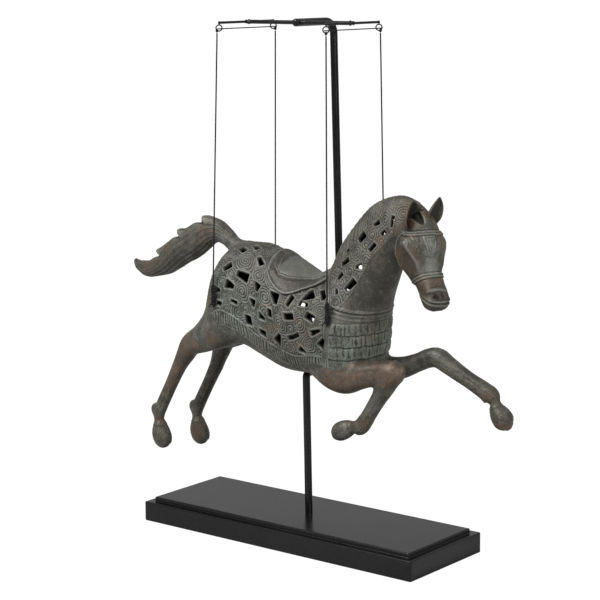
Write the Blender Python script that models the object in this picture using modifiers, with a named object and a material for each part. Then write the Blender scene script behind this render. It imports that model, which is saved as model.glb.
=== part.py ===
"""Openwork cast horse that hangs by four cords from a black steel stand.

Metres, +Z up. The horse faces +X, its right side faces -Y, and the origin is the middle of the
board's underside. Sizes in the tables are millimetres, and MM turns them into metres."""

import math

import bmesh
import bpy
import numpy as np
from mathutils import Matrix, Vector

MM = 0.001
GAP = 0.3  # clearance where two pieces meet

# Stand
BOARD_LENGTH = 400.0
BOARD_WIDTH = 140.0
BOARD_SLAB = 24.0
PANEL_MARGIN = 9.0
PANEL_RISE = 5.4
BOARD_TOP = BOARD_SLAB + PANEL_RISE
ROD_RADIUS = 4.0
ROD_FOOT_X = 2.0
ROD_TOP_X = -8.0
ROD_BACK_Y = 65.0  # the rod stands this far behind the horse's middle
ROD_UNDER_Z = 198.0  # where the rod runs back below the belly
ROD_LOW_BEND = 9.0
ROD_HIGH_BEND = 15.0
ROD_TIP_Y = -9.0
FRAME_Z = 607.0
LONG_BAR_RADIUS = 2.4
CROSSBAR_RADIUS = 1.5
REAR_X = -86.0
FRONT_X = 69.5
BAR_HALF_WIDTH = 50.0
RING_RADIUS = 3.45
RING_WIRE = 0.75
RING_TURN = 38.0
CORD_RADIUS = 0.8
TIE_RADIUS = 0.6
TIE_TAIL = 6.0
TIE_DROP = 0.95
KNOT_RADIUS = 3.4
KNOT_LENGTH = 30.0
RING_KNOT_RADIUS = 1.9

# Where the four cords meet the horse: x, distance from the middle plane, top of the knot
HITCHES = {
    "rear_right": (-95.5, 55.3, 304.0),
    "rear_left": (-92.0, 55.9, 304.0),
    "front_right": (70.0, 50.4, 299.0),
    "front_left": (76.5, 50.4, 299.0),
}
# How far round its ring each cord is tied, in degrees from the bottom
SWINGS = {"rear_right": -42.0, "rear_left": 42.0, "front_right": 0.0, "front_left": 30.0}

# Horse
WALL = 4.0
BODY_SIDES = 32
LIMB_SIDES = 12

# Body sections from the rump to the shoulder: x, top z, bottom z, half width
BODY = (
    (-134.0, 276.0, 250.0, 10.0),
    (-131.0, 292.0, 241.0, 21.5),
    (-124.0, 309.5, 233.0, 33.0),
    (-113.0, 329.5, 228.5, 43.5),
    (-97.0, 343.5, 226.0, 51.0),
    (-74.0, 347.5, 221.0, 53.5),
    (-44.0, 342.0, 212.0, 51.0),
    (-12.0, 327.5, 204.5, 49.5),
    (20.0, 313.5, 203.5, 49.5),
    (48.0, 313.0, 205.0, 50.0),
    (72.0, 306.0, 212.0, 46.5),
    (86.0, 288.0, 228.0, 33.0),
)
BODY_POWERS = (2.2, 2.9)

# Chest and neck sections: throat x and z, crest x and z, half width
NECK = (
    (92.0, 213.0, 34.0, 211.0, 40.0),
    (100.5, 226.0, 33.0, 224.0, 47.0),
    (105.0, 246.0, 30.0, 244.0, 48.5),
    (107.0, 264.0, 30.0, 268.0, 48.0),
    (111.0, 281.0, 32.0, 297.0, 45.5),
    (118.0, 299.0, 36.0, 316.0, 38.5),
    (127.0, 317.0, 43.5, 334.0, 30.5),
    (134.0, 332.0, 55.0, 357.0, 25.5),
    (139.0, 344.0, 74.0, 381.0, 22.5),
    (144.0, 354.0, 95.0, 402.5, 20.0),
    (150.0, 362.0, 116.0, 413.5, 18.5),
    (158.0, 370.0, 137.0, 418.0, 17.0),
    (166.0, 379.0, 153.0, 414.5, 15.0),
    (172.0, 390.0, 164.0, 406.0, 10.0),
)
NECK_POWERS = (2.1, 1.75)

# The head turns toward the horse's right about a standing axis through the poll
HEAD_TURN = 24.0
HEAD_PIVOT_X = 150.0
# Head sections along that turned plane: face reach and z, jaw reach and z, half width
HEAD = (
    (22.0, 404.0, 6.0, 399.0, 9.0),
    (34.0, 394.0, -5.0, 386.0, 17.0),
    (41.0, 382.0, -11.0, 371.0, 20.5),
    (48.0, 368.0, -12.0, 353.0, 23.0),
    (47.5, 354.0, -4.0, 340.0, 20.5),
    (49.0, 341.5, 11.0, 329.0, 16.5),
    (55.0, 330.0, 25.0, 319.5, 14.5),
    (63.0, 320.0, 32.0, 310.5, 14.2),
    (67.0, 311.0, 37.0, 304.0, 14.2),
    (65.0, 303.0, 42.0, 299.0, 11.5),
    (59.0, 298.5, 50.0, 297.0, 5.0),
)
HEAD_POWERS = (2.4, 2.3)
# Ears: side, turn outward, reach and z of the root, reach and z of the tip, lean outward
EARS = (
    (-1, 20.0, 20.0, 389.0, 24.0, 415.5, 0.0),
    (1, 12.0, 20.0, 388.0, 33.0, 419.5, 4.5),
)
# Ear sections from root to tip: share of the height, half width, depth of the hollow's back
EAR_SECTIONS = (
    (0.0, 7.0, 7.0),
    (0.2, 10.0, 8.5),
    (0.45, 10.0, 7.5),
    (0.7, 7.5, 5.5),
    (0.9, 3.6, 3.0),
    (1.0, 1.0, 1.4),
)
EAR_WALL = 2.2
EAR_APART = 11.5

# Limbs: x, z, half depth to one side, half depth to the other, half width
HIND_LEG = (
    (-80.0, 272.0, 28.0, 30.0, 18.0),
    (-106.0, 248.5, 27.0, 27.0, 20.0),
    (-133.0, 230.5, 19.0, 18.0, 16.5),
    (-155.0, 219.0, 14.5, 13.5, 13.5),
    (-166.0, 205.0, 11.5, 11.0, 10.5),
    (-176.0, 190.0, 9.0, 8.7, 8.5),
    (-191.0, 164.0, 7.8, 7.8, 7.6),
    (-204.0, 141.0, 7.8, 7.4, 7.4),
    (-211.0, 128.5, 14.5, 8.5, 8.0),
    (-211.5, 119.0, 7.0, 6.0, 6.2),
    (-210.5, 111.5, 9.0, 8.5, 8.5),
    (-209.0, 102.0, 11.5, 11.5, 11.0),
    (-206.0, 93.0, 11.0, 11.5, 11.0),
    (-203.0, 86.5, 7.0, 9.0, 8.0),
    (-201.5, 84.0, 2.5, 3.5, 3.0),
)
FAR_HIND_SHIFT = (13.0, -4.5)
LEG_Y = 28.0
FOREARM = (
    (40.0, 224.0, 14.0, 12.0, 15.0),
    (58.0, 212.0, 17.0, 17.0, 18.0),
    (78.0, 208.0, 18.5, 18.0, 17.5),
    (100.0, 213.0, 15.5, 16.5, 15.0),
    (122.0, 218.0, 13.5, 14.5, 13.0),
    (142.0, 222.0, 13.5, 13.5, 13.0),
    (154.0, 222.5, 10.0, 10.0, 10.0),
    (159.5, 222.5, 3.0, 3.0, 3.0),
)
BENT_CANNON = (
    (148.0, 224.0, 9.0, 9.0, 9.5),
    (137.5, 208.0, 11.0, 11.0, 10.5),
    (124.5, 187.5, 9.5, 8.5, 8.8),
    (113.0, 170.5, 8.5, 8.2, 8.2),
    (105.0, 159.5, 8.7, 9.5, 8.5),
    (98.0, 154.0, 8.0, 10.5, 9.0),
    (90.0, 152.0, 7.0, 7.0, 6.5),
    (84.5, 150.0, 9.5, 9.0, 8.5),
    (77.0, 146.5, 11.3, 10.5, 11.0),
    (69.5, 142.5, 11.0, 10.0, 10.5),
    (64.0, 139.5, 7.0, 6.5, 7.0),
    (61.5, 138.5, 2.5, 2.5, 2.5),
)
REACHING_LEG = (
    (58.0, 216.0, 14.0, 14.0, 15.0),
    (90.0, 212.0, 15.0, 14.5, 15.0),
    (116.0, 214.5, 12.5, 13.0, 13.0),
    (140.0, 224.0, 10.8, 10.8, 10.5),
    (156.0, 231.0, 11.0, 11.2, 10.5),
    (168.5, 233.0, 12.0, 11.0, 10.5),
    (181.0, 226.5, 10.5, 10.5, 9.8),
    (196.0, 219.0, 9.8, 9.8, 9.0),
    (212.0, 211.5, 9.2, 9.2, 8.5),
    (230.0, 203.5, 10.0, 9.6, 8.8),
    (240.0, 198.0, 11.5, 9.5, 8.8),
    (244.5, 191.0, 6.3, 6.3, 6.0),
    (247.0, 185.0, 9.0, 9.0, 8.5),
    (251.5, 178.0, 11.5, 12.0, 11.0),
    (257.0, 171.0, 11.5, 12.0, 11.0),
    (261.5, 166.0, 7.0, 7.0, 7.0),
    (263.5, 163.5, 2.5, 2.5, 2.5),
)
TAIL = (
    (-94.0, 336.0, 9.0, 9.0, 9.0),
    (-110.0, 343.0, 9.5, 9.0, 9.5),
    (-121.0, 351.0, 10.0, 10.0, 10.5),
    (-134.0, 356.0, 13.0, 12.5, 11.5),
    (-148.0, 353.5, 17.0, 15.0, 12.5),
    (-161.0, 346.0, 20.5, 17.0, 13.0),
    (-176.0, 336.0, 20.5, 17.0, 13.0),
    (-191.0, 328.0, 21.0, 16.0, 12.5),
    (-206.0, 318.0, 20.0, 15.0, 12.0),
    (-221.0, 309.0, 16.0, 13.5, 11.0),
    (-236.0, 303.5, 12.0, 11.5, 9.5),
    (-250.0, 300.5, 9.5, 10.0, 8.0),
    (-262.0, 302.0, 7.5, 7.5, 6.0),
    (-269.0, 306.0, 4.5, 4.5, 4.0),
    (-273.0, 310.0, 1.2, 1.2, 1.2),
)
# Tips of the three locks that stand up from the tail: root x and z, tip x and z
TAIL_LOCKS = (
    (-138.0, 357.0, -161.5, 374.5),
    (-176.0, 339.0, -200.0, 352.5),
    (-212.0, 314.0, -235.5, 324.5),
)


# Saddle on the body's back: x, girth distance from the top line to its edge, rise on the top line
SADDLE = (
    (-36.0, 18.0, 2.5),
    (-33.0, 31.0, 5.0),
    (-27.0, 42.0, 6.0),
    (-15.0, 50.0, 4.5),
    (-3.0, 51.5, 3.5),
    (8.0, 46.0, 4.5),
    (22.0, 33.0, 6.5),
    (33.0, 25.0, 11.5),
    (40.0, 19.0, 13.5),
    (45.0, 14.0, 9.0),
)
SADDLE_EDGE = 2.2
SADDLE_RIDGE = 15.0

# Openings in each flank: x, girth distance from the top line, length, width, tilt down from +X,
# and the width at the starting end as a share of the width at the other
FLANK_HOLES = (
    (-74.5, 26.0, 13.0, 7.0, 25.0, 0.8),
    (-61.5, 15.5, 10.0, 7.0, 25.0, 0.6),
    (-43.5, 32.5, 12.0, 6.5, 40.0, 0.5),
    (-81.5, 53.5, 12.0, 7.0, -35.0, 0.7),
    (-57.5, 59.0, 17.0, 10.5, 3.0, 0.5),
    (-35.5, 62.5, 9.0, 7.5, -90.0, 0.15),
    (-10.0, 60.5, 12.0, 12.5, -106.0, 0.25),
    (10.0, 52.5, 16.0, 5.0, -72.0, 0.7),
    (32.5, 37.0, 14.0, 18.0, 80.0, 0.1),
    (30.0, 50.5, 14.5, 6.0, 188.0, 0.4),
    (51.5, 35.5, 16.0, 6.5, 50.0, 0.6),
    (43.0, 65.0, 14.0, 7.5, 20.0, 0.9),
    (12.0, 70.0, 16.0, 6.5, -25.0, 0.9),
    (-73.0, 74.5, 13.0, 10.0, 190.0, 0.4),
    (-15.0, 80.5, 8.5, 5.5, 80.0, 0.9),
    (-39.0, 83.0, 8.0, 8.0, -100.0, 0.15),
    (-25.5, 91.5, 9.0, 7.5, 180.0, 0.15),
    (-65.5, 92.5, 10.0, 3.4, 3.0, 0.8),
    (-45.5, 106.5, 10.5, 9.5, 80.0, 0.9),
    (-25.0, 110.0, 10.0, 6.5, -10.0, 0.8),
    (-2.0, 103.0, 14.0, 9.5, 110.0, 0.2),
    (20.5, 90.0, 21.0, 4.5, -30.0, 0.8),
    (33.5, 104.5, 11.5, 6.5, 207.0, 0.15),
    (52.5, 80.0, 16.0, 5.5, 152.0, 0.3),
    (61.5, 89.5, 12.5, 8.5, 114.0, 0.2),
    (-89.0, 96.0, 11.0, 4.5, 25.0, 0.6),
    (-91.0, 80.0, 9.0, 3.4, 37.0, 0.8),
)
# Openings in each side of the neck: x, z, length, width, tilt up from +X, starting width share
NECK_HOLES = (
    (75.3, 340.4, 14.0, 5.0, 35.0, 0.8),
    (96.0, 369.8, 12.0, 8.0, 50.0, 0.8),
    (115.2, 386.7, 9.0, 5.0, 30.0, 0.4),
    (136.7, 390.5, 14.0, 3.8, 85.0, 0.4),
    (72.2, 324.7, 8.5, 5.0, 55.0, 0.7),
    (112.6, 360.2, 12.0, 4.5, 50.0, 0.8),
    (96.7, 337.4, 9.0, 7.0, 12.0, 0.2),
    (90.3, 316.6, 15.0, 8.0, 52.0, 0.7),
    (73.0, 308.3, 6.0, 3.8, -60.0, 0.6),
    (126.5, 377.5, 5.5, 3.8, 40.0, 0.7),
    (75.8, 353.0, 6.5, 3.0, 40.0, 0.6),
)


def through(rows, count):
    """Rows as a smooth run of `count` rows, on Catmull-Rom curves through all of them."""
    knots = np.array(rows, float)
    padded = np.vstack((2 * knots[0] - knots[1], knots, 2 * knots[-1] - knots[-2]))
    place = np.linspace(0, len(knots) - 1, count)
    start = np.minimum(place.astype(int), len(knots) - 2)
    t = (place - start)[:, None]
    a, b, c, d = (padded[start + k] for k in range(4))
    bend = (2 * a - 5 * b + 4 * c - d) * t**2 + (3 * b - a - 3 * c + d) * t**3
    return 0.5 * (2 * b + (c - a) * t + bend)


def shaped(value, power):
    """A sine or cosine drawn out so that a circle becomes a superellipse of that power."""
    return np.sign(value) * np.abs(value) ** (2 / power)


def section(first, second, half_width, powers, turn, y=0.0, waist=0.5):
    """Points round a section whose ends on the middle plane are the (x, z) pairs first and second.

    turn 0 is at first and pi at second, and +y is met at pi / 2. The widest place lies at
    `waist` of the way from first to second, and each end has its own superellipse power."""
    first, second = np.asarray(first), np.asarray(second)
    middle = first + (second - first) * waist
    cosine = np.cos(turn)
    near_first = (cosine >= 0)[:, None]
    power = np.where(cosine >= 0, powers[0], powers[1])
    reach = np.abs(shaped(cosine, power))[:, None]
    plane = middle + np.where(near_first, first - middle, second - middle) * reach
    side = half_width * shaped(np.sin(turn), power)
    return np.column_stack((plane[:, 0], y + side, plane[:, 1]))


def rings_between(rows, powers, sides, count, waist=0.5):
    """Rings for rows of two opposite points and a half width."""
    turn = np.arange(sides) * 2 * math.pi / sides
    return np.array(
        [section(r[0:2], r[2:4], r[4], powers, turn, waist=waist) for r in through(rows, count)]
    )


def rings_along(rows, sides, count, y=0.0, shift=(0.0, 0.0)):
    """Rings square to a path in a plane of constant y, for rows of a limb."""
    path = through(rows, count)
    fade = np.clip(np.linspace(0.0, 4.0, count) - 0.3, 0.0, 1.0)
    path[:, 0] += shift[0] * fade
    path[:, 1] += shift[1] * fade
    along = np.gradient(path[:, :2], axis=0)
    along /= np.linalg.norm(along, axis=1)[:, None]
    across = np.column_stack((along[:, 1], -along[:, 0]))
    turn = np.arange(sides) * 2 * math.pi / sides
    rings = []
    for row, out in zip(path, across):
        first = row[:2] + out * row[2]
        second = row[:2] - out * row[3]
        share = row[2] / (row[2] + row[3])
        rings.append(section(first, second, row[4], (2.1, 2.1), turn, y=y, waist=share))
    return np.array(rings)


def collection_named(name):
    found = bpy.data.collections.get(name)
    if found is None:
        found = bpy.data.collections.new(name)
        bpy.context.scene.collection.children.link(found)
    return found


def material(name, colour, roughness, metallic):
    """A Principled material, made once."""
    found = bpy.data.materials.get(name)
    if found:
        return found
    made = bpy.data.materials.new(name)
    made.use_nodes = True
    shader = made.node_tree.nodes["Principled BSDF"]
    shader.inputs["Base Color"].default_value = (*colour, 1)
    shader.inputs["Roughness"].default_value = roughness
    shader.inputs["Metallic"].default_value = metallic
    return made


def paint(name):
    finishes = {
        "black_board": ((0.02, 0.02, 0.021), 0.35, 0.0),
        "black_steel": ((0.018, 0.018, 0.02), 0.4, 0.6),
        "black_cord": ((0.015, 0.015, 0.016), 0.8, 0.0),
        "patinated_metal": ((0.16, 0.15, 0.12), 0.55, 0.5),
    }
    return material(name, *finishes[name])


def placed(data, name, finish, collection="hanging_horse"):
    item = bpy.data.objects.new(name, data)
    collection_named(collection).objects.link(item)
    data.materials.clear()
    data.materials.append(paint(finish))
    return item


def as_form(item):
    """Marks an object as a cutter or a form that a Boolean reads."""
    item.hide_render = True
    item.display_type = "WIRE"
    return item


def closed_loft(rings, name, collection):
    """A closed solid skinned over rings, with a fan of faces on each end."""
    count, sides, _ = rings.shape
    points = np.vstack((rings.reshape(-1, 3), rings[0].mean(0), rings[-1].mean(0))) * MM
    first, second = count * sides, count * sides + 1
    faces = []
    for i in range(count - 1):
        for j in range(sides):
            k = (j + 1) % sides
            faces.append((i * sides + j, i * sides + k, (i + 1) * sides + k, (i + 1) * sides + j))
    for j in range(sides):
        k = (j + 1) % sides
        faces.append((first, j, k))
        faces.append((second, (count - 1) * sides + k, (count - 1) * sides + j))
    data = bpy.data.meshes.new(name)
    data.from_pydata(points.tolist(), [], faces)
    mesh = bmesh.new()
    mesh.from_mesh(data)
    bmesh.ops.remove_doubles(mesh, verts=mesh.verts, dist=0.00002)
    bmesh.ops.recalc_face_normals(mesh, faces=mesh.faces)
    mesh.to_mesh(data)
    mesh.free()
    return as_form(placed(data, name, "patinated_metal", collection))


def body_curve(x, side):
    """Points down one side of the body's section at x, and the girth distance of each."""
    rows = through(BODY, 240)
    top, bottom, half = (np.interp(x, rows[:, 0], rows[:, k]) for k in (1, 2, 3))
    turn = side * np.linspace(0.0, math.pi, 90)
    points = section((x, top), (x, bottom), half, BODY_POWERS, turn)
    steps = np.linalg.norm(np.diff(points, axis=0), axis=1)
    return points, np.concatenate(([0.0], np.cumsum(steps)))


def on_body(x, drop, out=0.0):
    """The point of the body's skin `drop` down from its top line at x, moved `out` off the skin.

    drop is positive on the left side and negative on the right."""
    side = 1.0 if drop >= 0 else -1.0
    points, girth = body_curve(x, side)
    place = np.array([np.interp(abs(drop), girth, points[:, k]) for k in range(3)])
    after = np.array([np.interp(abs(drop) + 0.5, girth, points[:, k]) for k in range(3)])
    before = np.array([np.interp(abs(drop) - 0.5, girth, points[:, k]) for k in range(3)])
    along = after - before
    if abs(drop) < 0.5:
        along = np.array([0.0, side, 0.0])
    normal = side * np.array([0.0, -along[2], along[1]])
    return place + normal / np.linalg.norm(normal) * out


def trapezium(length, width, tilt, start):
    """Corners of an opening as pairs, with its starting end narrower by `start`."""
    tilt = math.radians(tilt)
    half = width / 2
    plain = (
        (-length / 2, -half * start),
        (length / 2, -half),
        (length / 2, half),
        (-length / 2, half * start),
    )
    cosine, sine = math.cos(tilt), math.sin(tilt)
    return [(a * cosine - b * sine, a * sine + b * cosine) for a, b in plain]


def prism(inner, outer, name):
    return closed_loft(np.array([inner, outer]), name, "horse_cutters")


def cut_flank_hole(number, side, row):
    x, drop = row[:2]
    here = on_body(x, side * drop)
    forward = on_body(x + 3.0, side * drop) - on_body(x - 3.0, side * drop)
    down = on_body(x, side * (drop + 3.0)) - on_body(x, side * (drop - 3.0))
    forward /= np.linalg.norm(forward)
    down /= np.linalg.norm(down)
    out = np.cross(forward, down)
    out *= np.sign(out[1] * side + out[2] * 0.01)
    corners = [here + forward * a + down * b for a, b in trapezium(*row[2:])]
    inner = [corner - out * (WALL + 5.0) for corner in corners]
    outer = [corner + out * 5.0 for corner in corners]
    prism(inner, outer, f"flank_cutter_{number}_{'left' if side > 0 else 'right'}")


def cut_neck_hole(number, side, row):
    corners = [(row[0] + a, row[1] + b) for a, b in trapezium(*row[2:])]
    inner = [(x, side * 4.0, z) for x, z in corners]
    outer = [(x, side * 60.0, z) for x, z in corners]
    prism(inner, outer, f"neck_cutter_{number}_{'left' if side > 0 else 'right'}")


def inset(rows, wall):
    """Section rows drawn in by the casting's wall."""
    drawn = []
    for row in rows:
        first, second = np.array(row[0:2]), np.array(row[2:4])
        along = (second - first) / np.linalg.norm(second - first)
        first, second = first + along * wall, second - along * wall
        drawn.append((*first, *second, row[4] - wall))
    return drawn


def turned_head(points):
    """Points given as (reach, side, z) in the head's own plane, in the horse's frame."""
    angle = math.radians(HEAD_TURN)
    reach, side, z = points[..., 0], points[..., 1], points[..., 2]
    x = HEAD_PIVOT_X + reach * math.cos(angle) + side * math.sin(angle)
    y = side * math.cos(angle) - reach * math.sin(angle)
    return np.stack((x, y, z), axis=-1)


def ear_rings(side, turn, root_reach, root_z, tip_reach, tip_z, lean):
    angle = math.radians(side * turn)
    rings = []
    for share, half, depth in through(EAR_SECTIONS, 9):
        reach = root_reach + (tip_reach - root_reach) * share
        z = root_z + (tip_z - root_z) * share
        back = np.linspace(-1.0, 1.0, 7) * math.pi / 2
        front = back[::-1][1:-1]
        hollow = max(depth - EAR_WALL, 0.1)
        inner = max(half - EAR_WALL, 0.3)
        wide = np.concatenate((half * np.sin(back), inner * np.sin(front)))
        deep = np.concatenate((-depth * np.cos(back), -hollow * np.cos(front)))
        deep += depth / 2
        forward = reach + deep * math.cos(angle) - wide * math.sin(angle)
        across = side * (EAR_APART + lean * share) + deep * math.sin(angle) + wide * math.cos(angle)
        rings.append(np.column_stack((forward, across, np.full(len(wide), z))))
    return turned_head(np.array(rings))


def saddle_rings():
    rings = []
    for x, edge, rise in through(SADDLE, 13):
        across = np.linspace(-1.0, 1.0, 11)
        top = []
        for share in across:
            drop = share * edge
            lift = SADDLE_EDGE + (rise - SADDLE_EDGE) * math.exp(-((drop / SADDLE_RIDGE) ** 2))
            top.append(on_body(x, drop, lift))
        under = [on_body(x, share * edge, -1.8) for share in across[::-1][1:-1:2]]
        rings.append(top + under)
    return np.array(rings)


def lock_rings(root_x, root_z, tip_x, tip_z):
    """A pointed lock that stands off the tail."""
    root, tip = np.array((root_x, root_z)), np.array((tip_x, tip_z))
    away = (tip - root) / np.linalg.norm(tip - root)
    across = np.array((away[1], -away[0]))
    turn = np.arange(8) * 2 * math.pi / 8
    rings = []
    for share, half in ((0.0, 6.5), (0.45, 5.5), (0.8, 3.2), (1.0, 0.7)):
        middle = root + (tip - root) * share
        rings.append(
            section(middle + across * half, middle - across * half, half * 1.1, (2.0, 2.0), turn)
        )
    return np.array(rings)


def make_horse():
    forms = "horse_forms"
    neck = rings_between(NECK, NECK_POWERS, 26, 15, waist=0.42)
    closed_loft(neck, "neck_form", forms)
    head = rings_between(HEAD, HEAD_POWERS, 18, 14, waist=0.45)
    closed_loft(turned_head(head), "head_form", forms)
    for row in EARS:
        name = "left_ear_form" if row[0] > 0 else "right_ear_form"
        closed_loft(ear_rings(*row), name, forms)
    closed_loft(rings_along(HIND_LEG, 10, 17, -LEG_Y), "right_hind_form", forms)
    hind = rings_along(HIND_LEG, 10, 17, LEG_Y, FAR_HIND_SHIFT)
    closed_loft(hind, "left_hind_form", forms)
    closed_loft(rings_along(FOREARM, 10, 9, -LEG_Y), "right_forearm_form", forms)
    closed_loft(rings_along(BENT_CANNON, 10, 14, -LEG_Y), "right_cannon_form", forms)
    closed_loft(rings_along(REACHING_LEG, 10, 20, LEG_Y), "left_foreleg_form", forms)
    closed_loft(rings_along(TAIL, 10, 16), "tail_form", forms)
    for number, row in enumerate(TAIL_LOCKS, 1):
        closed_loft(lock_rings(*row), f"tail_lock_form_{number}", forms)
    closed_loft(saddle_rings(), "saddle_form", forms)

    body = [(x, top, x, bottom, half) for x, top, bottom, half in BODY]
    cavity = rings_between(inset(body[1:-1], WALL), BODY_POWERS, 20, 9)
    closed_loft(cavity, "body_cavity", "horse_cutters")
    cavity = rings_between(inset(NECK[2:12], WALL), NECK_POWERS, 16, 8, waist=0.42)
    closed_loft(cavity, "neck_cavity", "horse_cutters")
    for side in (-1, 1):
        for number, row in enumerate(FLANK_HOLES, 1):
            cut_flank_hole(number, side, row)
        for number, row in enumerate(NECK_HOLES, 1):
            cut_neck_hole(number, side, row)

    horse = closed_loft(rings_between(body, BODY_POWERS, 28, 15), "horse", "hanging_horse")
    horse.hide_render = False
    horse.display_type = "TEXTURED"
    combine(horse, "UNION", forms)
    combine(horse, "DIFFERENCE", "horse_cutters")
    return horse


def combine(item, operation, group):
    """A Boolean of an object with every object of a collection."""
    step = item.modifiers.new(group, "BOOLEAN")
    step.operation = operation
    step.operand_type = "COLLECTION"
    step.collection = collection_named(group)
    return step


def cut_by(item, cutter):
    step = item.modifiers.new(cutter.name, "BOOLEAN")
    step.operation = "DIFFERENCE"
    step.object = as_form(cutter)
    return step


def box(name, size, middle, finish, collection="hanging_horse"):
    data = bpy.data.meshes.new(name)
    mesh = bmesh.new()
    bmesh.ops.create_cube(mesh, size=1.0)
    bmesh.ops.scale(mesh, vec=Vector(size) * MM, verts=mesh.verts)
    bmesh.ops.translate(mesh, vec=Vector(middle) * MM, verts=mesh.verts)
    mesh.to_mesh(data)
    mesh.free()
    return placed(data, name, finish, collection)


def cylinder(name, start, end, radius, sides, finish, collection="hanging_horse"):
    start, end = Vector(start) * MM, Vector(end) * MM
    turn = (end - start).to_track_quat("Z", "Y").to_matrix().to_4x4()
    data = bpy.data.meshes.new(name)
    mesh = bmesh.new()
    bmesh.ops.create_cone(
        mesh,
        cap_ends=True,
        segments=sides,
        radius1=radius * MM,
        radius2=radius * MM,
        depth=(end - start).length,
        matrix=Matrix.Translation((start + end) / 2) @ turn,
    )
    mesh.to_mesh(data)
    mesh.free()
    return placed(data, name, finish, collection)


def tube(name, points, radius, roundness, finish, thickness=None):
    """A round tube along a line of points, made as a curve and turned into a closed mesh."""
    curve = bpy.data.curves.new(name, "CURVE")
    curve.dimensions = "3D"
    curve.bevel_depth = radius * MM
    curve.bevel_resolution = roundness
    curve.use_fill_caps = True
    spline = curve.splines.new("POLY")
    spline.points.add(len(points) - 1)
    for k, point in enumerate(points):
        spline.points[k].co = (*(Vector(point) * MM), 1.0)
        if thickness:
            spline.points[k].radius = thickness[k]
    source = bpy.data.objects.new(name, curve)
    collection_named("hanging_horse").objects.link(source)
    reading = bpy.context.evaluated_depsgraph_get()
    data = bpy.data.meshes.new_from_object(source.evaluated_get(reading))
    bpy.data.objects.remove(source)
    bpy.data.curves.remove(curve)
    mesh = bmesh.new()
    mesh.from_mesh(data)
    bmesh.ops.remove_doubles(mesh, verts=mesh.verts, dist=0.00001)
    mesh.to_mesh(data)
    mesh.free()
    data.name = name
    return placed(data, name, finish)


def arc(middle, first, second, radius, steps):
    """Points of a quarter turn from middle + first * radius to middle + second * radius."""
    middle, first, second = (np.array(v, float) for v in (middle, first, second))
    turn = np.linspace(0.0, math.pi / 2, steps)
    return [middle + radius * (first * math.cos(t) + second * math.sin(t)) for t in turn]


def make_plinth():
    size = (BOARD_LENGTH, BOARD_WIDTH, BOARD_SLAB)
    board = box("plinth", size, (0.0, 0.0, BOARD_SLAB / 2), "black_board")
    size = (BOARD_LENGTH - 2 * PANEL_MARGIN, BOARD_WIDTH - 2 * PANEL_MARGIN, BOARD_TOP - 4.0)
    panel = box("panel_form", size, (0.0, 0.0, 4.0 + size[2] / 2), "black_board", "forms")
    joined = board.modifiers.new("panel", "BOOLEAN")
    joined.operation = "UNION"
    joined.object = as_form(panel)
    soft = board.modifiers.new("soft_edges", "BEVEL")
    soft.width = 0.8 * MM
    soft.segments = 1
    soft.limit_method = "ANGLE"


def make_post():
    low, high = ROD_LOW_BEND, ROD_HIGH_BEND
    under_x = ROD_FOOT_X - 2.5
    path = [(ROD_FOOT_X, 0.0, BOARD_TOP + GAP)]
    path += arc((under_x, low, ROD_UNDER_Z - low), (0, -1, 0), (0, 0, 1), low, 5)
    path += arc((under_x, ROD_BACK_Y - low, ROD_UNDER_Z + low), (0, 0, -1), (0, 1, 0), low, 5)
    path += arc((ROD_TOP_X, ROD_BACK_Y - high, FRAME_Z - high), (0, 1, 0), (0, 0, 1), high, 6)
    path += [(ROD_TOP_X, -3.5, FRAME_Z), (ROD_TOP_X, -7.0, FRAME_Z), (ROD_TOP_X, ROD_TIP_Y, FRAME_Z)]
    thickness = [1.0] * (len(path) - 2) + [0.8, 0.35]
    post = tube("post", path, ROD_RADIUS, 4, "black_steel", thickness)
    reach = 12.0
    ends = ((ROD_TOP_X - reach, 0.0, FRAME_Z), (ROD_TOP_X + reach, 0.0, FRAME_Z))
    hole = LONG_BAR_RADIUS + GAP
    cut_by(post, cylinder("bar_hole", *ends, hole, 12, "black_steel", "cutters"))


def make_bars():
    reach = CROSSBAR_RADIUS + GAP
    ends = ((REAR_X + reach, 0.0, FRAME_Z), (FRONT_X - reach, 0.0, FRAME_Z))
    cylinder("long_bar", *ends, LONG_BAR_RADIUS, 12, "black_steel")
    for name, x in (("rear_crossbar", REAR_X), ("front_crossbar", FRONT_X)):
        ends = ((x, -BAR_HALF_WIDTH, FRAME_Z), (x, BAR_HALF_WIDTH, FRAME_Z))
        cylinder(name, *ends, CROSSBAR_RADIUS, 8, "black_steel")


def ring_middle(x, side):
    drop = CROSSBAR_RADIUS + GAP + RING_RADIUS + RING_WIRE
    return np.array((x, side * (BAR_HALF_WIDTH - 0.8), FRAME_Z - drop))


def ring_mesh(name, middle, wire, finish, collection="hanging_horse"):
    """A wire ring whose face is turned RING_TURN from the middle plane."""
    turn = math.radians(RING_TURN)
    flat = np.array((math.cos(turn), math.sin(turn), 0.0))
    rings = []
    for k in range(14):
        angle = 2 * math.pi * k / 14
        out = flat * math.cos(angle) + np.array((0.0, 0.0, math.sin(angle)))
        side = np.array((-flat[1], flat[0], 0.0))
        around = [2 * math.pi * j / 6 for j in range(6)]
        rings.append(
            [
                middle + out * (RING_RADIUS + wire * math.cos(a)) + side * wire * math.sin(a)
                for a in around
            ]
        )
    points = np.array(rings).reshape(-1, 3) * MM
    faces = []
    for i in range(14):
        for j in range(6):
            a, b = i * 6, (i + 1) % 14 * 6
            faces.append((a + j, a + (j + 1) % 6, b + (j + 1) % 6, b + j))
    data = bpy.data.meshes.new(name)
    data.from_pydata(points.tolist(), [], faces)
    mesh = bmesh.new()
    mesh.from_mesh(data)
    bmesh.ops.recalc_face_normals(mesh, faces=mesh.faces)
    mesh.to_mesh(data)
    mesh.free()
    return placed(data, name, finish, collection)


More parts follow.
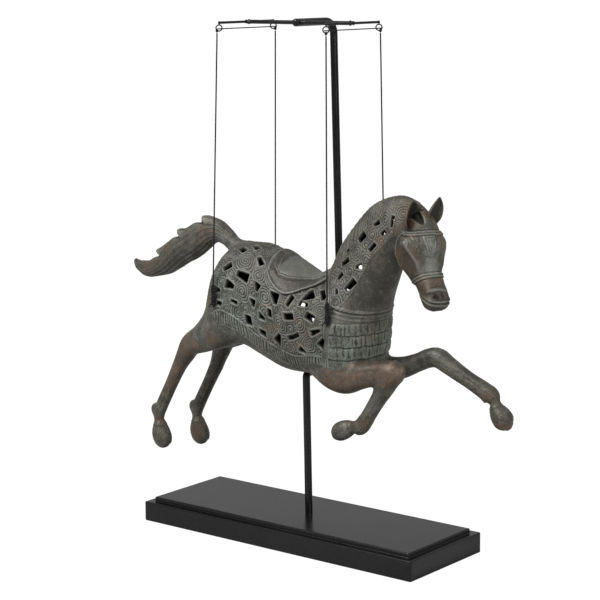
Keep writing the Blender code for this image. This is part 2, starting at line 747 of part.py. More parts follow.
def lump(name, middle, profile):
    """A wound knot: a turned body whose radius follows (height, radius) pairs."""
    turn = np.arange(8) * 2 * math.pi / 8
    rings = [
        np.column_stack(
            (
                middle[0] + radius * np.cos(turn),
                middle[1] + radius * np.sin(turn),
                np.full(8, middle[2] + height),
            )
        )
        for height, radius in profile
    ]
    item = closed_loft(np.array(rings), name, "hanging_horse")
    item.hide_render = False
    item.display_type = "TEXTURED"
    item.data.materials[0] = paint("black_cord")
    return item


def make_cord(place, side):
    """One ring with its knot, its cord and the knot at the horse."""
    bar_x = REAR_X if place == "rear" else FRONT_X
    end = f"{place}_{'left' if side > 0 else 'right'}"
    hitch = HITCHES[end]
    ring = ring_middle(bar_x, side)
    ring_mesh(f"ring_{end}", ring, RING_WIRE, "black_steel")
    turn, swing = math.radians(RING_TURN), math.radians(SWINGS[end])
    away = np.array((math.cos(turn) * math.sin(swing), math.sin(turn) * math.sin(swing), 0.0))
    bottom = ring + away * RING_RADIUS - (0.0, 0.0, RING_RADIUS * math.cos(swing))
    size = RING_KNOT_RADIUS
    heights = (0.85, 0.6, 0.15, -0.6, -1.2, -1.6)
    widths = (0.35, 0.75, 1.0, 1.0, 0.75, 0.35)
    profile = [(h * size, w * size) for h, w in zip(heights, widths)]
    knot = lump(f"ring_knot_{end}", bottom, profile)
    cut_by(knot, ring_mesh(f"ring_room_{end}", ring, RING_WIRE + GAP, "black_steel", "cutters"))
    foot = np.array((hitch[0], side * hitch[1], hitch[2]))
    top = bottom - (0.0, 0.0, 1.6 * size + GAP)
    heights = np.array((0.0, 0.06, 0.2, 0.36, 0.46, 0.62, 0.8, 0.93, 1.0)) * -KNOT_LENGTH
    widths = np.array((0.35, 0.75, 1.0, 0.85, 0.72, 0.95, 1.0, 0.7, 0.3)) * KNOT_RADIUS
    lump(f"hitch_{end}", foot, list(zip(heights, widths)))
    steps = 40
    route = [top + (foot + (0.0, 0.0, GAP) - top) * k / steps for k in range(steps + 1)]
    tube(f"cord_{end}", route, CORD_RADIUS, 2, "black_cord")


def make_tie(place):
    bar_x = REAR_X if place == "rear" else FRONT_X
    z = ring_middle(bar_x, 1)[2] - TIE_DROP
    ends = (-BAR_HALF_WIDTH - 2.0, BAR_HALF_WIDTH + TIE_TAIL)
    route = [(bar_x, y, z) for y in np.linspace(*ends, 32)]
    tube(f"tie_{place}", route, TIE_RADIUS, 2, "black_cord")


def main():
    for item in list(bpy.data.objects):
        bpy.data.objects.remove(item)
    make_plinth()
    make_post()
    make_bars()
    for place in ("rear", "front"):
        for side in (-1, 1):
            make_cord(place, side)
        make_tie(place)
    make_horse()


if __name__ == "__main__":
    main()
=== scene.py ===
# %% [markdown]
# A cast metal horse, pierced all over, hangs by four cords from a black steel stand. The packed
# CAD model is the fixed frame: it gives every size and place, and this script gives every surface
# its finish. The first cell loads that frame. Tables here are in millimetres, which suit a
# figurine of this size, and MM turns them into metres where a mesh is made.

import math

import bpy
import numpy as np
from mathutils import Matrix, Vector
from numpy.linalg import norm


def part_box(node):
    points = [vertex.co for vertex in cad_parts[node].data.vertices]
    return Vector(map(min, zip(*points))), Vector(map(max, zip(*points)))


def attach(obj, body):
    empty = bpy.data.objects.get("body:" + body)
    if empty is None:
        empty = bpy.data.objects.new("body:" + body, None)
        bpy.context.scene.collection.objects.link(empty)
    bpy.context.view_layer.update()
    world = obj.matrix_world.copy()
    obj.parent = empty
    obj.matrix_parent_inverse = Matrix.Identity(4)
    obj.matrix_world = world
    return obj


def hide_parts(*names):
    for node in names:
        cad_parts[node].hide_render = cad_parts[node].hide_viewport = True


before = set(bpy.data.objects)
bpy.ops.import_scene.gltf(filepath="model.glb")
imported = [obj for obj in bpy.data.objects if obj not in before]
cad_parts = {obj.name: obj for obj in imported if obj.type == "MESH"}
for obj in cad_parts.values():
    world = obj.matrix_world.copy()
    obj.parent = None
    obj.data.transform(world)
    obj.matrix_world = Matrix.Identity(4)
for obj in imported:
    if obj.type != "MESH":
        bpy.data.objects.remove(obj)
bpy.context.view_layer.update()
MM = 0.001
print("nodes in the frame:", len(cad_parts))

# %% [markdown]
# The camera stands where the photographer stood: to the horse's right and in front of it, a little
# above the back. Its turn is given as a yaw, a pitch and a small roll, and its three axes follow
# from them, so no target or constraint is needed. The picture is square, 600 pixels wide, so the
# focal length in pixels gives the lens for a 36 mm sensor.

# %% Camera at the photograph's view
IMAGE_SIDE = 600
FOCAL_PIXELS = 1898.7
SENSOR = 36.0
CAMERA_PLACE = (1.35993, -1.71202, 0.66748)
CAMERA_YAW = 38.6497
CAMERA_PITCH = 9.8997
CAMERA_ROLL = -0.4297


def camera_axes(yaw, pitch, roll):
    """Right, up and forward of a level camera turned by yaw, dipped by pitch, then rolled."""
    yaw, pitch, roll = np.radians((yaw, pitch, roll))
    level = np.array((math.cos(yaw), math.sin(yaw), 0.0))
    dip = math.cos(pitch)
    forward = np.array((-math.sin(yaw) * dip, math.cos(yaw) * dip, -math.sin(pitch)))
    upright = np.cross(level, forward)
    right = math.cos(roll) * level + math.sin(roll) * upright
    up = math.cos(roll) * upright - math.sin(roll) * level
    return right, up, forward


def linked_object(name, data):
    item = bpy.data.objects.new(name, data)
    bpy.context.scene.collection.objects.link(item)
    return item


def set_down(item, place, right, up, back):
    """Puts a camera or lamp at a place, turned so that it looks against its axis back."""
    turn = Matrix(np.column_stack((right, up, back)).tolist()).to_4x4()
    item.matrix_world = Matrix.Translation(place) @ turn


lens = bpy.data.cameras.new("camera")
lens.sensor_width = SENSOR
lens.lens = FOCAL_PIXELS * SENSOR / IMAGE_SIDE
lens.clip_end = 200.0
camera = linked_object("camera", lens)
right, up, forward = camera_axes(CAMERA_YAW, CAMERA_PITCH, CAMERA_ROLL)
set_down(camera, CAMERA_PLACE, right, up, -forward)
bpy.context.scene.camera = camera
print("camera lens in mm:", round(lens.lens, 2))

# %% [markdown]
# Every piece below is a surface on a grid: an array of rows and columns of points. Neighbouring
# points make the faces, so a mesh needs one array of points and one array of corner numbers, both
# worked out at once. The same few helpers serve all pieces: faces for a grid, caps for its open
# ends, a test that turns a shell's faces outward, and one function that hands the arrays to
# Blender together with any numbers that a material reads at each point.


def grid_faces(rows, columns, ring=False):
    """Corner numbers of a grid's quads; with ring, the last column joins the first."""
    across = columns if ring else columns - 1
    i, j = np.meshgrid(np.arange(rows - 1), np.arange(across), indexing="ij")
    here, below = i * columns, (i + 1) * columns
    k = (j + 1) % columns
    return np.stack((here + j, here + k, below + k, below + j)).reshape(4, -1).T


def capped(rings):
    """Points, quads and end triangles of a tube: its rings, closed by a fan at each end."""
    count, sides, _ = rings.shape
    points = np.vstack((rings.reshape(-1, 3), rings[0].mean(0), rings[-1].mean(0)))
    j = np.arange(sides)
    k = (j + 1) % sides
    last = (count - 1) * sides
    fans = ((0 * j + count * sides, k, j), (0 * j + count * sides + 1, last + j, last + k))
    return points, grid_faces(count, sides, ring=True), np.hstack(fans).T


def facing(points, quads, ends, lift=None):
    """Quads and triangles, all turned round if they look against lift at their points.

    Without lift they are a closed shell, and are turned round if it is inside out: then the sum
    over its faces of the normal times the way out from the middle is negative."""
    faces = quads if lift is not None else np.vstack((quads[:, :3], ends))
    a, b, c = (points[faces[:, k]] for k in range(3))
    out = (a + b + c) / 3 - points.mean(0) if lift is None else lift[faces[:, 0]]
    turn = -1 if np.sum(np.cross(b - a, c - a) * out) < 0 else 1
    return quads[:, ::turn], ends[:, ::turn]


def make_piece(name, points, quads, ends, finish, node, numbers=None):
    """A smooth shaded piece from points in millimetres, in the place of a CAD node.

    Points that no face uses are left out. Each of numbers has one value for every point."""
    used = np.zeros(len(points), bool)
    used[quads] = True
    used[ends] = True
    place = np.cumsum(used) - 1
    data = bpy.data.meshes.new(name)
    data.from_pydata((points[used] * MM).tolist(), [], place[quads].tolist() + place[ends].tolist())
    for key, values in (numbers or {}).items():
        layer = data.attributes.new(key, "FLOAT", "POINT")
        layer.data.foreach_set("value", np.asarray(values, np.float32).ravel()[used])
    data.shade_smooth()
    data.materials.append(finish)
    piece = linked_object(name, data)
    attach(piece, "root")
    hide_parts(node)
    return piece


def tube_rings(path, radius, sides, reference=(1.0, 0.0, 0.0)):
    """Rings of a round tube: path point plus radius times a unit circle square to the path.

    The circle starts square to the reference too. radius is one number, one for each ring, or one
    for each point of each ring."""
    along = np.gradient(path, axis=0)
    along /= norm(along, axis=1)[:, None]
    side = np.cross(along, reference)
    side /= norm(side, axis=1)[:, None]
    turn = np.arange(sides) * 2 * math.pi / sides
    over = np.cross(side, along)
    circle = side[:, None] * np.cos(turn)[:, None] + over[:, None] * np.sin(turn)[:, None]
    radius = np.asarray(radius, float)
    if radius.ndim < 2:
        radius = radius.reshape(-1, 1)
    return path[:, None] + circle * radius[..., None]


def tube_piece(name, rings, finish, node):
    """A closed tube from its rings."""
    points, quads, ends = capped(rings)
    return make_piece(name, points, *facing(points, quads, ends), finish, node)


print("a grid of 3 by 4 points has", len(grid_faces(3, 4)), "faces")

# %% [markdown]
# Several finishes share the same effects, so each effect is a node group made once: a fine cast
# grain, and a soft mottling of two scales. A group only puts out masks and heights. The shader
# itself, with the numbers that are the same all over a surface, stays in each material. All
# patterns read Object coordinates in metres, so their scales are large numbers: 400 means a
# pattern of about two and a half millimetres.

# %% Node helpers and the shared groups
def linked(tree, kind, inputs=None, **settings):
    """Adds a node in the next place of its tree, sets it up, and links or sets its inputs."""
    node = tree.nodes.new(kind)
    node.location = (220 * (len(tree.nodes) // 5), -280 * (len(tree.nodes) % 5))
    for key, value in settings.items():
        setattr(node, key, value)
    for key, value in (inputs or {}).items():
        if isinstance(value, bpy.types.NodeSocket):
            tree.links.new(value, node.inputs[key])
        elif isinstance(value, tuple):
            node.inputs[key].default_value = (*value, 1.0)
        else:
            node.inputs[key].default_value = value
    return node


def new_group(name, inputs, outputs):
    """A shader node group with named float inputs and outputs, its ends, and a place to read."""
    tree = bpy.data.node_groups.new(name, "ShaderNodeTree")
    for label, value in inputs.items():
        socket = tree.interface.new_socket(label, in_out="INPUT", socket_type="NodeSocketFloat")
        socket.default_value = value
    for label in outputs:
        tree.interface.new_socket(label, in_out="OUTPUT", socket_type="NodeSocketFloat")
    start, end = linked(tree, "NodeGroupInput"), linked(tree, "NodeGroupOutput")
    return tree, start.outputs, end.inputs, linked(tree, "ShaderNodeTexCoord").outputs["Object"]


def noise_at(tree, place, scale, detail, roughness=0.5):
    inputs = {"Vector": place, "Scale": scale, "Detail": detail, "Roughness": roughness}
    return linked(tree, "ShaderNodeTexNoise", inputs).outputs["Fac"]


def between(tree, value, low, high):
    """A value mapped so that 0 gives low and 1 gives high."""
    inputs = {"Value": value, "To Min": low, "To Max": high}
    return linked(tree, "ShaderNodeMapRange", inputs).outputs["Result"]


def stepped(tree, value, low, high):
    """0 below low, 1 above high, smooth between."""
    inputs = {"Value": value, "From Min": low, "From Max": high}
    return linked(tree, "ShaderNodeMapRange", inputs, interpolation_type="SMOOTHSTEP").outputs["Result"]


def maths(tree, operation, first, second):
    return linked(tree, "ShaderNodeMath", {0: first, 1: second}, operation=operation).outputs[0]


def times(tree, first, second):
    return maths(tree, "MULTIPLY", first, second)


def mixed(tree, share, first, second):
    """A colour between two, each a socket or a triple, by a share."""
    inputs = {"Factor": share, 6: first, 7: second}  # 6 and 7 are the two colour sockets
    return linked(tree, "ShaderNodeMix", inputs, data_type="RGBA").outputs[2]


# %% Mottle and grain
def make_mottle():
    """Two masks of patches: broad ones and small specks, both 0 to 1."""
    tree, start, end, place = new_group("mottle", {"Broad": 30.0, "Fine": 300.0}, ("Patches", "Specks"))
    broad = noise_at(tree, place, start["Broad"], 5.0, 0.6)
    fine = noise_at(tree, place, start["Fine"], 4.0, 0.65)
    tree.links.new(stepped(tree, broad, 0.38, 0.66), end["Patches"])
    tree.links.new(stepped(tree, fine, 0.42, 0.68), end["Specks"])
    return tree


def make_grain():
    """A height of fine pits and lumps for a Bump node, 0 to 1."""
    tree, start, end, place = new_group("grain", {"Scale": 900.0, "Pits": 0.4}, ("Height",))
    lumps = noise_at(tree, place, start["Scale"], 3.0)
    inputs = {"Vector": place, "Scale": start["Scale"]}
    cells = linked(tree, "ShaderNodeTexVoronoi", inputs).outputs["Distance"]
    tree.links.new(maths(tree, "ADD", lumps, times(tree, cells, start["Pits"])), end["Height"])
    return tree


mottle = make_mottle()
grain = make_grain()
print("shared groups:", mottle.name, grain.name)

# %% Materials, and the shared groups in them
def mottled(tree, broad, fine):
    """The two masks of the mottle group, as sockets."""
    node = linked(tree, "ShaderNodeGroup", node_tree=mottle)
    node.inputs["Broad"].default_value = broad
    node.inputs["Fine"].default_value = fine
    return node.outputs["Patches"], node.outputs["Specks"]


def grained(tree, shader, scale, pits, distance, strength):
    """Fine cast grain as a bump on a shader's normal."""
    node = linked(tree, "ShaderNodeGroup", node_tree=grain)
    node.inputs["Scale"].default_value = scale
    node.inputs["Pits"].default_value = pits
    inputs = {"Height": node.outputs["Height"], "Distance": distance, "Strength": strength}
    tree.links.new(linked(tree, "ShaderNodeBump", inputs).outputs["Normal"], shader.inputs["Normal"])


def new_material(name, **constants):
    """A Principled material whose constants sit on the shader's own sockets."""
    made = bpy.data.materials.new(name)
    made.use_nodes = True
    shader = made.node_tree.nodes["Principled BSDF"]
    for key, value in constants.items():
        shader.inputs[key.replace("_", " ")].default_value = value
    return made, made.node_tree, shader

# %% [markdown]
# The floor is a plain pale sheet wide enough to fill the picture, lit by a pale sky and two large
# soft lamps: one high at the left of the camera, one lower at its right. Large lamps give the
# broad highlights and soft shadows of a product studio.

# %% Floor, sky and lamps
FLOOR_SIDE = 120.0
SKY_STRENGTH = 0.5
WHITE = (1.0, 1.0, 1.0)
# The floor glows a little for the object, and for the camera it is a plain white sheet
FLOOR_BOUNCE = (0.087, 0.087, 0.087)
FLOOR_SEEN = (0.04, 0.04, 0.04)
# Lamps: place in metres, side in metres, power in watts
LAMPS = {
    "high_left": ((-0.7, -1.5, 2.1), 1.1, 62.0),
    "low_right": ((2.3, -0.7, 1.2), 1.2, 30.0),
}
AIM = (0.0, 0.0, 0.3)


def make_floor():
    made, tree, shader = new_material("pale_floor", Roughness=0.9, Emission_Strength=0.98)
    seen = linked(tree, "ShaderNodeLightPath").outputs["Is Camera Ray"]
    tree.links.new(mixed(tree, seen, FLOOR_BOUNCE, WHITE), shader.inputs["Emission Color"])
    patches, _ = mottled(tree, 1.5, 40.0)
    colour = mixed(tree, patches, (0.5, 0.5, 0.5), (0.53, 0.53, 0.53))
    tree.links.new(mixed(tree, seen, colour, FLOOR_SEEN), shader.inputs["Base Color"])
    half = FLOOR_SIDE / 2
    data = bpy.data.meshes.new("floor")
    corners = [(-half, -half, 0), (half, -half, 0), (half, half, 0), (-half, half, 0)]
    data.from_pydata(corners, [], [(0, 1, 2, 3)])
    data.materials.append(made)
    linked_object("floor", data)


def make_lights():
    world = bpy.data.worlds.new("pale_sky")
    world.use_nodes = True
    sky = world.node_tree.nodes["Background"]
    sky.inputs["Color"].default_value = (*WHITE, 1.0)
    sky.inputs["Strength"].default_value = SKY_STRENGTH
    bpy.context.scene.world = world
    for name, (place, side, power) in LAMPS.items():
        data = bpy.data.lights.new(name, "AREA")
        data.size = side
        data.energy = power
        back = np.subtract(place, AIM)
        back /= norm(back)
        right = np.cross((0.0, 0.0, 1.0), back)
        right /= norm(right)
        set_down(linked_object(name, data), place, right, np.cross(back, right), back)


make_floor()
make_lights()
bpy.context.scene.view_settings.view_transform = "Standard"
print("lamps:", ", ".join(LAMPS))

# %% [markdown]
# Four thin black cords carry the horse, and two shorter ones tie the rings of each crossbar
# together. A cord of this kind is three strands laid round each other. It could be three separate
# tubes, but one tube with a three-lobed section that turns steadily as it goes looks the same and
# stays light: the radius swells three times round the section, and the lobes' places move on by
# one full turn for each lay length.

# %% Cord finish
def cord_finish():
    made, tree, shader = new_material("black_cord_laid", Roughness=0.9, Specular_IOR_Level=0.25)
    patches, specks = mottled(tree, 120.0, 1500.0)
    worn = mixed(tree, patches, (0.004, 0.004, 0.005), (0.009, 0.009, 0.01))
    tree.links.new(mixed(tree, specks, worn, (0.02, 0.02, 0.022)), shader.inputs["Base Color"])
    grained(tree, shader, 2500.0, 0.3, 0.0001, 0.5)
    return made


black_cord = cord_finish()
print("cord finish:", black_cord.name)

# %% Where rings and cords are, worked out from the frame
RING_RADIUS = 3.45
RING_WIRE = 0.75
RING_TURN = math.radians(38.0)
CORD_RADIUS = 0.92
TIE_RADIUS = 0.7
RING_KNOT_SIZE = 1.9
KNOT_RADIUS = 3.4
GAP = 0.3
ENDS = ("rear_right", "rear_left", "front_right", "front_left")
# How far round its ring each cord is tied, in degrees from the bottom
SWINGS = {"rear_right": -42.0, "rear_left": 42.0, "front_right": 0.0, "front_left": 30.0}


def node_box(name):
    """Lowest and highest corner of a CAD node, in millimetres."""
    return np.array([list(corner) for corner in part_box(name)]) / MM


def ring_middle(end):
    return node_box(f"ring_{end}").mean(0)


def ring_bottom(end):
    """The point of the ring's wire that the cord is tied round."""
    swing = math.radians(SWINGS[end])
    away = np.array((math.cos(RING_TURN), math.sin(RING_TURN), 0.0)) * math.sin(swing)
    return ring_middle(end) + RING_RADIUS * (away - (0.0, 0.0, math.cos(swing)))


def cord_route(end):
    """The straight run from under the ring's knot to the top of the knot at the horse."""
    hitch = node_box(f"hitch_{end}")
    foot = np.array((*hitch.mean(0)[:2], hitch[1, 2] + GAP))
    top = ring_bottom(end) - (0.0, 0.0, 1.6 * RING_KNOT_SIZE + GAP)
    share = np.linspace(0.0, 1.0, 41)[:, None]
    return top + (foot - top) * share


def run_along(path):
    """Length gone from a path's start at each of its points."""
    return np.concatenate(([0.0], np.cumsum(norm(np.diff(path, axis=0), axis=1))))


def length_of(path):
    return float(run_along(path)[-1])


for end in ENDS:
    print(end, "cord length in mm:", round(length_of(cord_route(end)), 1))

# %% Laid cord
CORD_LAY = 5.4
CORD_SIDES = 15
CORD_STEP = 0.5


def resampled(path, step):
    """The path again with points a step apart, on straight runs between the given ones."""
    gone = run_along(path)
    at = np.linspace(0.0, gone[-1], int(gone[-1] / step) + 1)
    return np.column_stack([np.interp(at, gone, path[:, k]) for k in range(3)]), at


def lay_cord(name, route, radius, lay):
    """A taut laid cord along a route, in the place of the CAD cord of that name.

    At a length s along it, its radius is taken 0.9 + 0.14 cos 3(turn - 2 pi s / lay) times."""
    path, gone = resampled(route, CORD_STEP)
    turn = np.arange(CORD_SIDES) * 2 * math.pi / CORD_SIDES
    lobes = np.cos(3 * (turn[None] - 2 * math.pi * gone[:, None] / lay))
    rings = tube_rings(path, radius * (0.9 + 0.14 * lobes), CORD_SIDES)
    cord = tube_piece(f"laid_{name}", rings, black_cord, name)
    length_of(route) * MM


for end in ENDS:
    lay_cord(f"cord_{end}", cord_route(end), CORD_RADIUS, CORD_LAY)
for place in ("rear", "front"):
    low, high = node_box(f"tie_{place}")
    middle = (low + high) / 2
    run = np.linspace(low[1], high[1], 32)
    route = np.column_stack((np.full(32, middle[0]), run, np.full(32, middle[2])))
    lay_cord(f"tie_{place}", route, TIE_RADIUS, CORD_LAY * 0.75)
print("cords laid, with a lay in mm of:", CORD_LAY)

# %% [markdown]
# Where a cord meets the horse it is whipped round itself many times, which leaves a long black
# knot with a waist and a short loose end. The turns are one helix: a point goes round while it
# sinks, at a distance from the middle that swells and narrows with height. The same helix with
# three turns makes the small knot round each ring's wire.

# %% Whipped knots
KNOT_HEIGHTS = np.array((0.0, 0.06, 0.2, 0.36, 0.46, 0.62, 0.8, 0.93, 1.0))
KNOT_WIDTHS = np.array((0.35, 0.75, 1.0, 0.85, 0.72, 0.95, 1.0, 0.7, 0.3))


def helix(middle, top, bottom, turns, strand, heights, widths):
    """A path that winds down round an upright line at the profile's width less the strand."""
    share = np.linspace(0.0, 1.0, int(turns * 22))
    reach = np.maximum(np.interp(share, heights, widths) - strand, 0.25)
    turn = 2 * math.pi * turns * share
    x, y = middle[0] + reach * np.cos(turn), middle[1] + reach * np.sin(turn)
    return np.column_stack((x, y, top + (bottom - top) * share))


def whipped(name, node, middle, top, bottom, turns, strand, heights, widths, loose):
    """A knot: a core that fills the profile, one wound strand, and loose ends."""
    core_z = top + (bottom - top) * heights
    core = np.column_stack((0 * core_z + middle[0], 0 * core_z + middle[1], core_z))
    tubes = [tube_rings(core, np.maximum(widths - 1.2 * strand, 0.15), 12)]
    wound = helix(middle, top - strand, bottom + strand, turns, strand, heights, widths)
    count = len(wound)
    thick = strand * np.clip(np.minimum(np.linspace(0, 12, count), np.linspace(12, 0, count)), 0.4, 1)
    tubes.append(tube_rings(wound, thick, 8, reference=(0.0, 0.0, 1.0)))
    for path in loose:
        thin = np.linspace(strand, strand * 0.7, len(path))
        tubes.append(tube_rings(path, thin, 8, (0.3, 0.2, 1.0)))
    points, quads, ends = np.zeros((0, 3)), np.zeros((0, 4), int), np.zeros((0, 3), int)
    for rings in tubes:
        more, sides, caps = capped(rings)
        sides, caps = facing(more, sides, caps)
        quads, ends = np.vstack((quads, sides + len(points))), np.vstack((ends, caps + len(points)))
        points = np.vstack((points, more))
    make_piece(name, points, quads, ends, black_cord, node)


def bent(start, middle, end, count=14):
    """Points on the parabola from start to end that is drawn towards middle."""
    t = np.linspace(0.0, 1.0, count)[:, None]
    return (1 - t) ** 2 * np.array(start) + 2 * t * (1 - t) * np.array(middle) + t**2 * np.array(end)


# %% Knots at the horse and at the rings
# Loose ends of the long knot, each as start, bend and tip away from its middle on the right side
LOOSE_ENDS = (
    ((-1.5, -1, -9), (-4.5, -2.2, -11), (-5.5, -1.6, -14.5)),
    ((0.5, -1.5, 7), (3.6, -2.4, 8), (5.2, -1.6, 5.5)),
)
RING_KNOT_HEIGHTS = np.array((0.0, 0.1, 0.3, 0.6, 0.84, 1.0))
RING_KNOT_WIDTHS = np.array((0.35, 0.75, 1.0, 1.0, 0.75, 0.35)) * RING_KNOT_SIZE
for end in ENDS:
    low, high = node_box(f"hitch_{end}")
    middle = (low + high) / 2
    side = (1.0, -1.0, 1.0) if end.endswith("left") else (1.0, 1.0, 1.0)
    loose = [bent(*(middle + np.array(points) * side)) for points in LOOSE_ENDS]
    whipped(f"whipped_hitch_{end}", f"hitch_{end}", middle, high[2], low[2], 12, 1.0,
            KNOT_HEIGHTS, KNOT_WIDTHS * KNOT_RADIUS, loose)
    low, high = node_box(f"ring_knot_{end}")
    whipped(f"whipped_ring_knot_{end}", f"ring_knot_{end}", ring_bottom(end), high[2], low[2], 3, 0.6,
            RING_KNOT_HEIGHTS, RING_KNOT_WIDTHS, ())
print("knots made:", 2 * len(ENDS))

# %% [markdown]
# The casting has an old copper alloy's skin: a grey-green patina, paler and bluer green where
# verdigris gathers, nearly black in the recesses, and warm brown where hands have rubbed it. The
# mesh carries four numbers at every point for this: relief, which is high on ridges and low in
# grooves, rub, green and dark. Dark is painted shade on body, neck, legs, tail and head. Only on
# the saddle is it the saddle's own darker tone. Relief is also set low to paint shade on the
# openings' walls, the inner liners and the ears' hollows. Relief and green are raised on the
# head's face to paint a highlight there. The material mixes its colours by them and breaks their
# borders up with the shared patches and specks, so no border looks painted.

# %% Patina material
DARK_GROOVE = (0.012, 0.012, 0.009)
GREY_GREEN = (0.09, 0.094, 0.076)
OLIVE = (0.046, 0.041, 0.027)
DARK_OLIVE = (0.021, 0.019, 0.013)
BARE_GREY = (0.1, 0.093, 0.08)
UMBER = (0.068, 0.047, 0.031)
PALE_GREEN = (0.23, 0.245, 0.21)
SALT = (0.5, 0.52, 0.47)
VERDIGRIS = (0.17, 0.21, 0.175)
RUBBED_BROWN = (0.108, 0.06, 0.033)
DARK_UMBER = (0.03, 0.021, 0.015)
OCHRE = (0.118, 0.07, 0.031)
MAUVE_BROWN = (0.07, 0.05, 0.038)


def patina_finish():
    made, tree, shader = new_material("patinated_cast_metal", Metallic=0.3)
    relief, rub, green, dark = (
        linked(tree, "ShaderNodeAttribute", attribute_name=name).outputs["Fac"]
        for name in ("relief", "rub", "green", "dark")
    )
    patches, specks = mottled(tree, 28.0, 620.0)
    stains, dust = mottled(tree, 110.0, 1700.0)
    earthy = times(tree, *mottled(tree, 16.0, 240.0))
    scab = stepped(tree, mottled(tree, 75.0, 950.0)[0], 0.25, 0.75)
    crust = times(tree, green, maths(tree, "ADD", stains, specks))
    ragged = maths(tree, "ADD", rub, times(tree, patches, 0.35))
    ragged = maths(tree, "ADD", ragged, times(tree, stains, 0.35))
    ragged = maths(tree, "SUBTRACT", ragged, times(tree, scab, 0.3))
    worn = stepped(tree, ragged, 0.42, 0.78)
    salty = times(tree, stepped(tree, dust, 0.55, 0.95), specks)
    # Painted shade: the dark number, broken up by the stains
    shade = times(tree, dark, stepped(tree, stains, 1.4, 0.1))

    def layered(base, layers):
        """A colour with layers on it, each a mask, its strength and its own colour."""
        for mask, strength, colour in layers:
            base = mixed(tree, times(tree, mask, strength), base, colour)
        return base

    # The ground is grey and olive in patches, darker where shade is painted and under scabs
    ground = (
        (stains, 0.55, BARE_GREY), (earthy, 0.8, UMBER), (specks, 0.26, PALE_GREEN),
        (shade, 1.0, DARK_OLIVE), (scab, 0.42, DARK_OLIVE), (crust, 0.6, VERDIGRIS),
    )
    base = layered(mixed(tree, patches, OLIVE, GREY_GREEN), ground)
    # The rubbed brown has a ragged border, and painted shade darkens it too
    brown = mixed(tree, stains, MAUVE_BROWN, RUBBED_BROWN)
    brown = layered(brown, ((earthy, 0.9, OCHRE), (dark, 0.7, DARK_UMBER)))
    # On both lie pale ridges, specks of salt and dark grooves. Where a piece sets its relief for it,
    # the pale ridges are a painted highlight and the dark grooves painted shade
    over = (
        (worn, 0.85, brown), (scab, 0.3, DARK_OLIVE),
        (stepped(tree, relief, 0.2, 1.0), 0.38, PALE_GREEN), (salty, 0.42, SALT),
        (stepped(tree, relief, -0.05, -0.95), 0.92, DARK_GROOVE),
    )
    base = layered(base, over)
    tree.links.new(base, shader.inputs["Base Color"])
    tree.links.new(between(tree, worn, 0.53, 0.5), shader.inputs["Roughness"])
    grained(tree, shader, 600.0, 0.5, 0.0004, 0.6)
    return made


patina = patina_finish()
print("patina colours mixed by:", "relief, rub, green, dark")

# %% [markdown]
# The horse's forms come from the same sizes as the CAD model. Each form is a run of sections in
# an upright plane: a section has two opposite points on that plane and a half width, and a
# superellipse joins them. Body and neck are given by their top and bottom edges, limbs and tail
# by a middle path with a half depth to each side. Smooth curves through the rows give as many
# sections as a fine skin needs.

# %% Sections of the horse, in millimetres
WALL = 4.0
# Body: x, top z, bottom z, half width
BODY = (
    (-136, 265, 262, 0.9), (-135.4, 270.5, 256, 5.5), (-134, 276, 250, 10),
    (-131, 292, 241, 21.5), (-124, 309.5, 233, 33), (-113, 329.5, 228.5, 43.5),
    (-97, 343.5, 231, 51), (-74, 347.5, 227.5, 53.5), (-44, 342, 215.5, 51),
    (-12, 327.5, 204.5, 49.5), (20, 313.5, 203.5, 49.5), (48, 313, 205, 50),
    (72, 306, 212, 46.5), (86, 288, 228, 33),
)
BODY_POWERS = (2.2, 2.9)

# Chest and neck: throat x and z, crest x and z, half width
NECK = (
    (92, 213, 34, 211, 40), (100.5, 226, 33, 224, 47), (105, 246, 30, 244, 48.5),
    (107, 264, 30, 268, 48), (111, 281, 32, 297, 45.5), (118, 299, 36, 316, 38.5),
    (127, 317, 43.5, 334, 30.5), (134, 332, 55, 357, 25.5), (139, 344, 74, 381, 22.5),
    (144, 354, 95, 402.5, 20), (150, 362, 116, 413.5, 18.5), (158, 370, 137, 418, 17),
    (166, 379, 153, 414.5, 15), (172, 390, 164, 406, 10), (175.5, 393.5, 170, 402, 5.5),
    (177, 396.5, 175, 399, 1.2),
)
NECK_POWERS = (2.1, 1.75)
NECK_WAIST = 0.42

# The head is in its own plane, turned to the horse's right about an upright line at the poll
HEAD_TURN = math.radians(24.0)
HEAD_PIVOT_X = 150.0
# Head: face reach and z, jaw reach and z, half width
HEAD = (
    (22, 404, 6, 399, 9), (34, 394, -5, 386, 17), (41, 382, -11, 371, 20.5),
    (48, 368, -12, 353, 23), (47.5, 354, -4, 340, 20.5), (49, 341.5, 11, 329, 16.5),
    (55, 330, 25, 319.5, 14.5), (63, 320, 32, 310.5, 14.2), (67, 311, 37, 304, 14.2),
    (65, 303, 42, 299, 11.5), (59, 298.5, 50, 297, 5),
)
HEAD_POWERS = (2.4, 2.3)
HEAD_WAIST = 0.45

# Limbs and tail: x, z, half depth to one side, half depth to the other, half width
HIND_LEG = (
    (-80, 272, 28, 30, 18), (-106, 248.5, 27, 27, 20), (-133, 230.5, 19, 18, 16.5),
    (-155, 219, 14.5, 13.5, 13.5), (-166, 205, 11.5, 11, 10.5), (-176, 190, 9, 8.7, 8.5),
    (-191, 164, 7.8, 7.8, 7.6), (-204, 141, 7.8, 7.4, 7.4), (-207, 135, 8.8, 7.4, 7),
    (-210.5, 128.5, 13.2, 7.4, 6.8), (-211.5, 122, 8.2, 6.3, 6.2), (-211.5, 117.5, 6.8, 5.9, 6),
    (-210.5, 111.5, 9, 8.5, 8.5), (-209, 102, 11.5, 11.5, 11), (-206, 93, 11, 11.5, 11),
    (-203, 86.5, 7, 9, 8), (-201.5, 84, 2.5, 3.5, 3),
)
FAR_HIND_SHIFT = (13.0, -4.5)
LEG_Y = 28.0
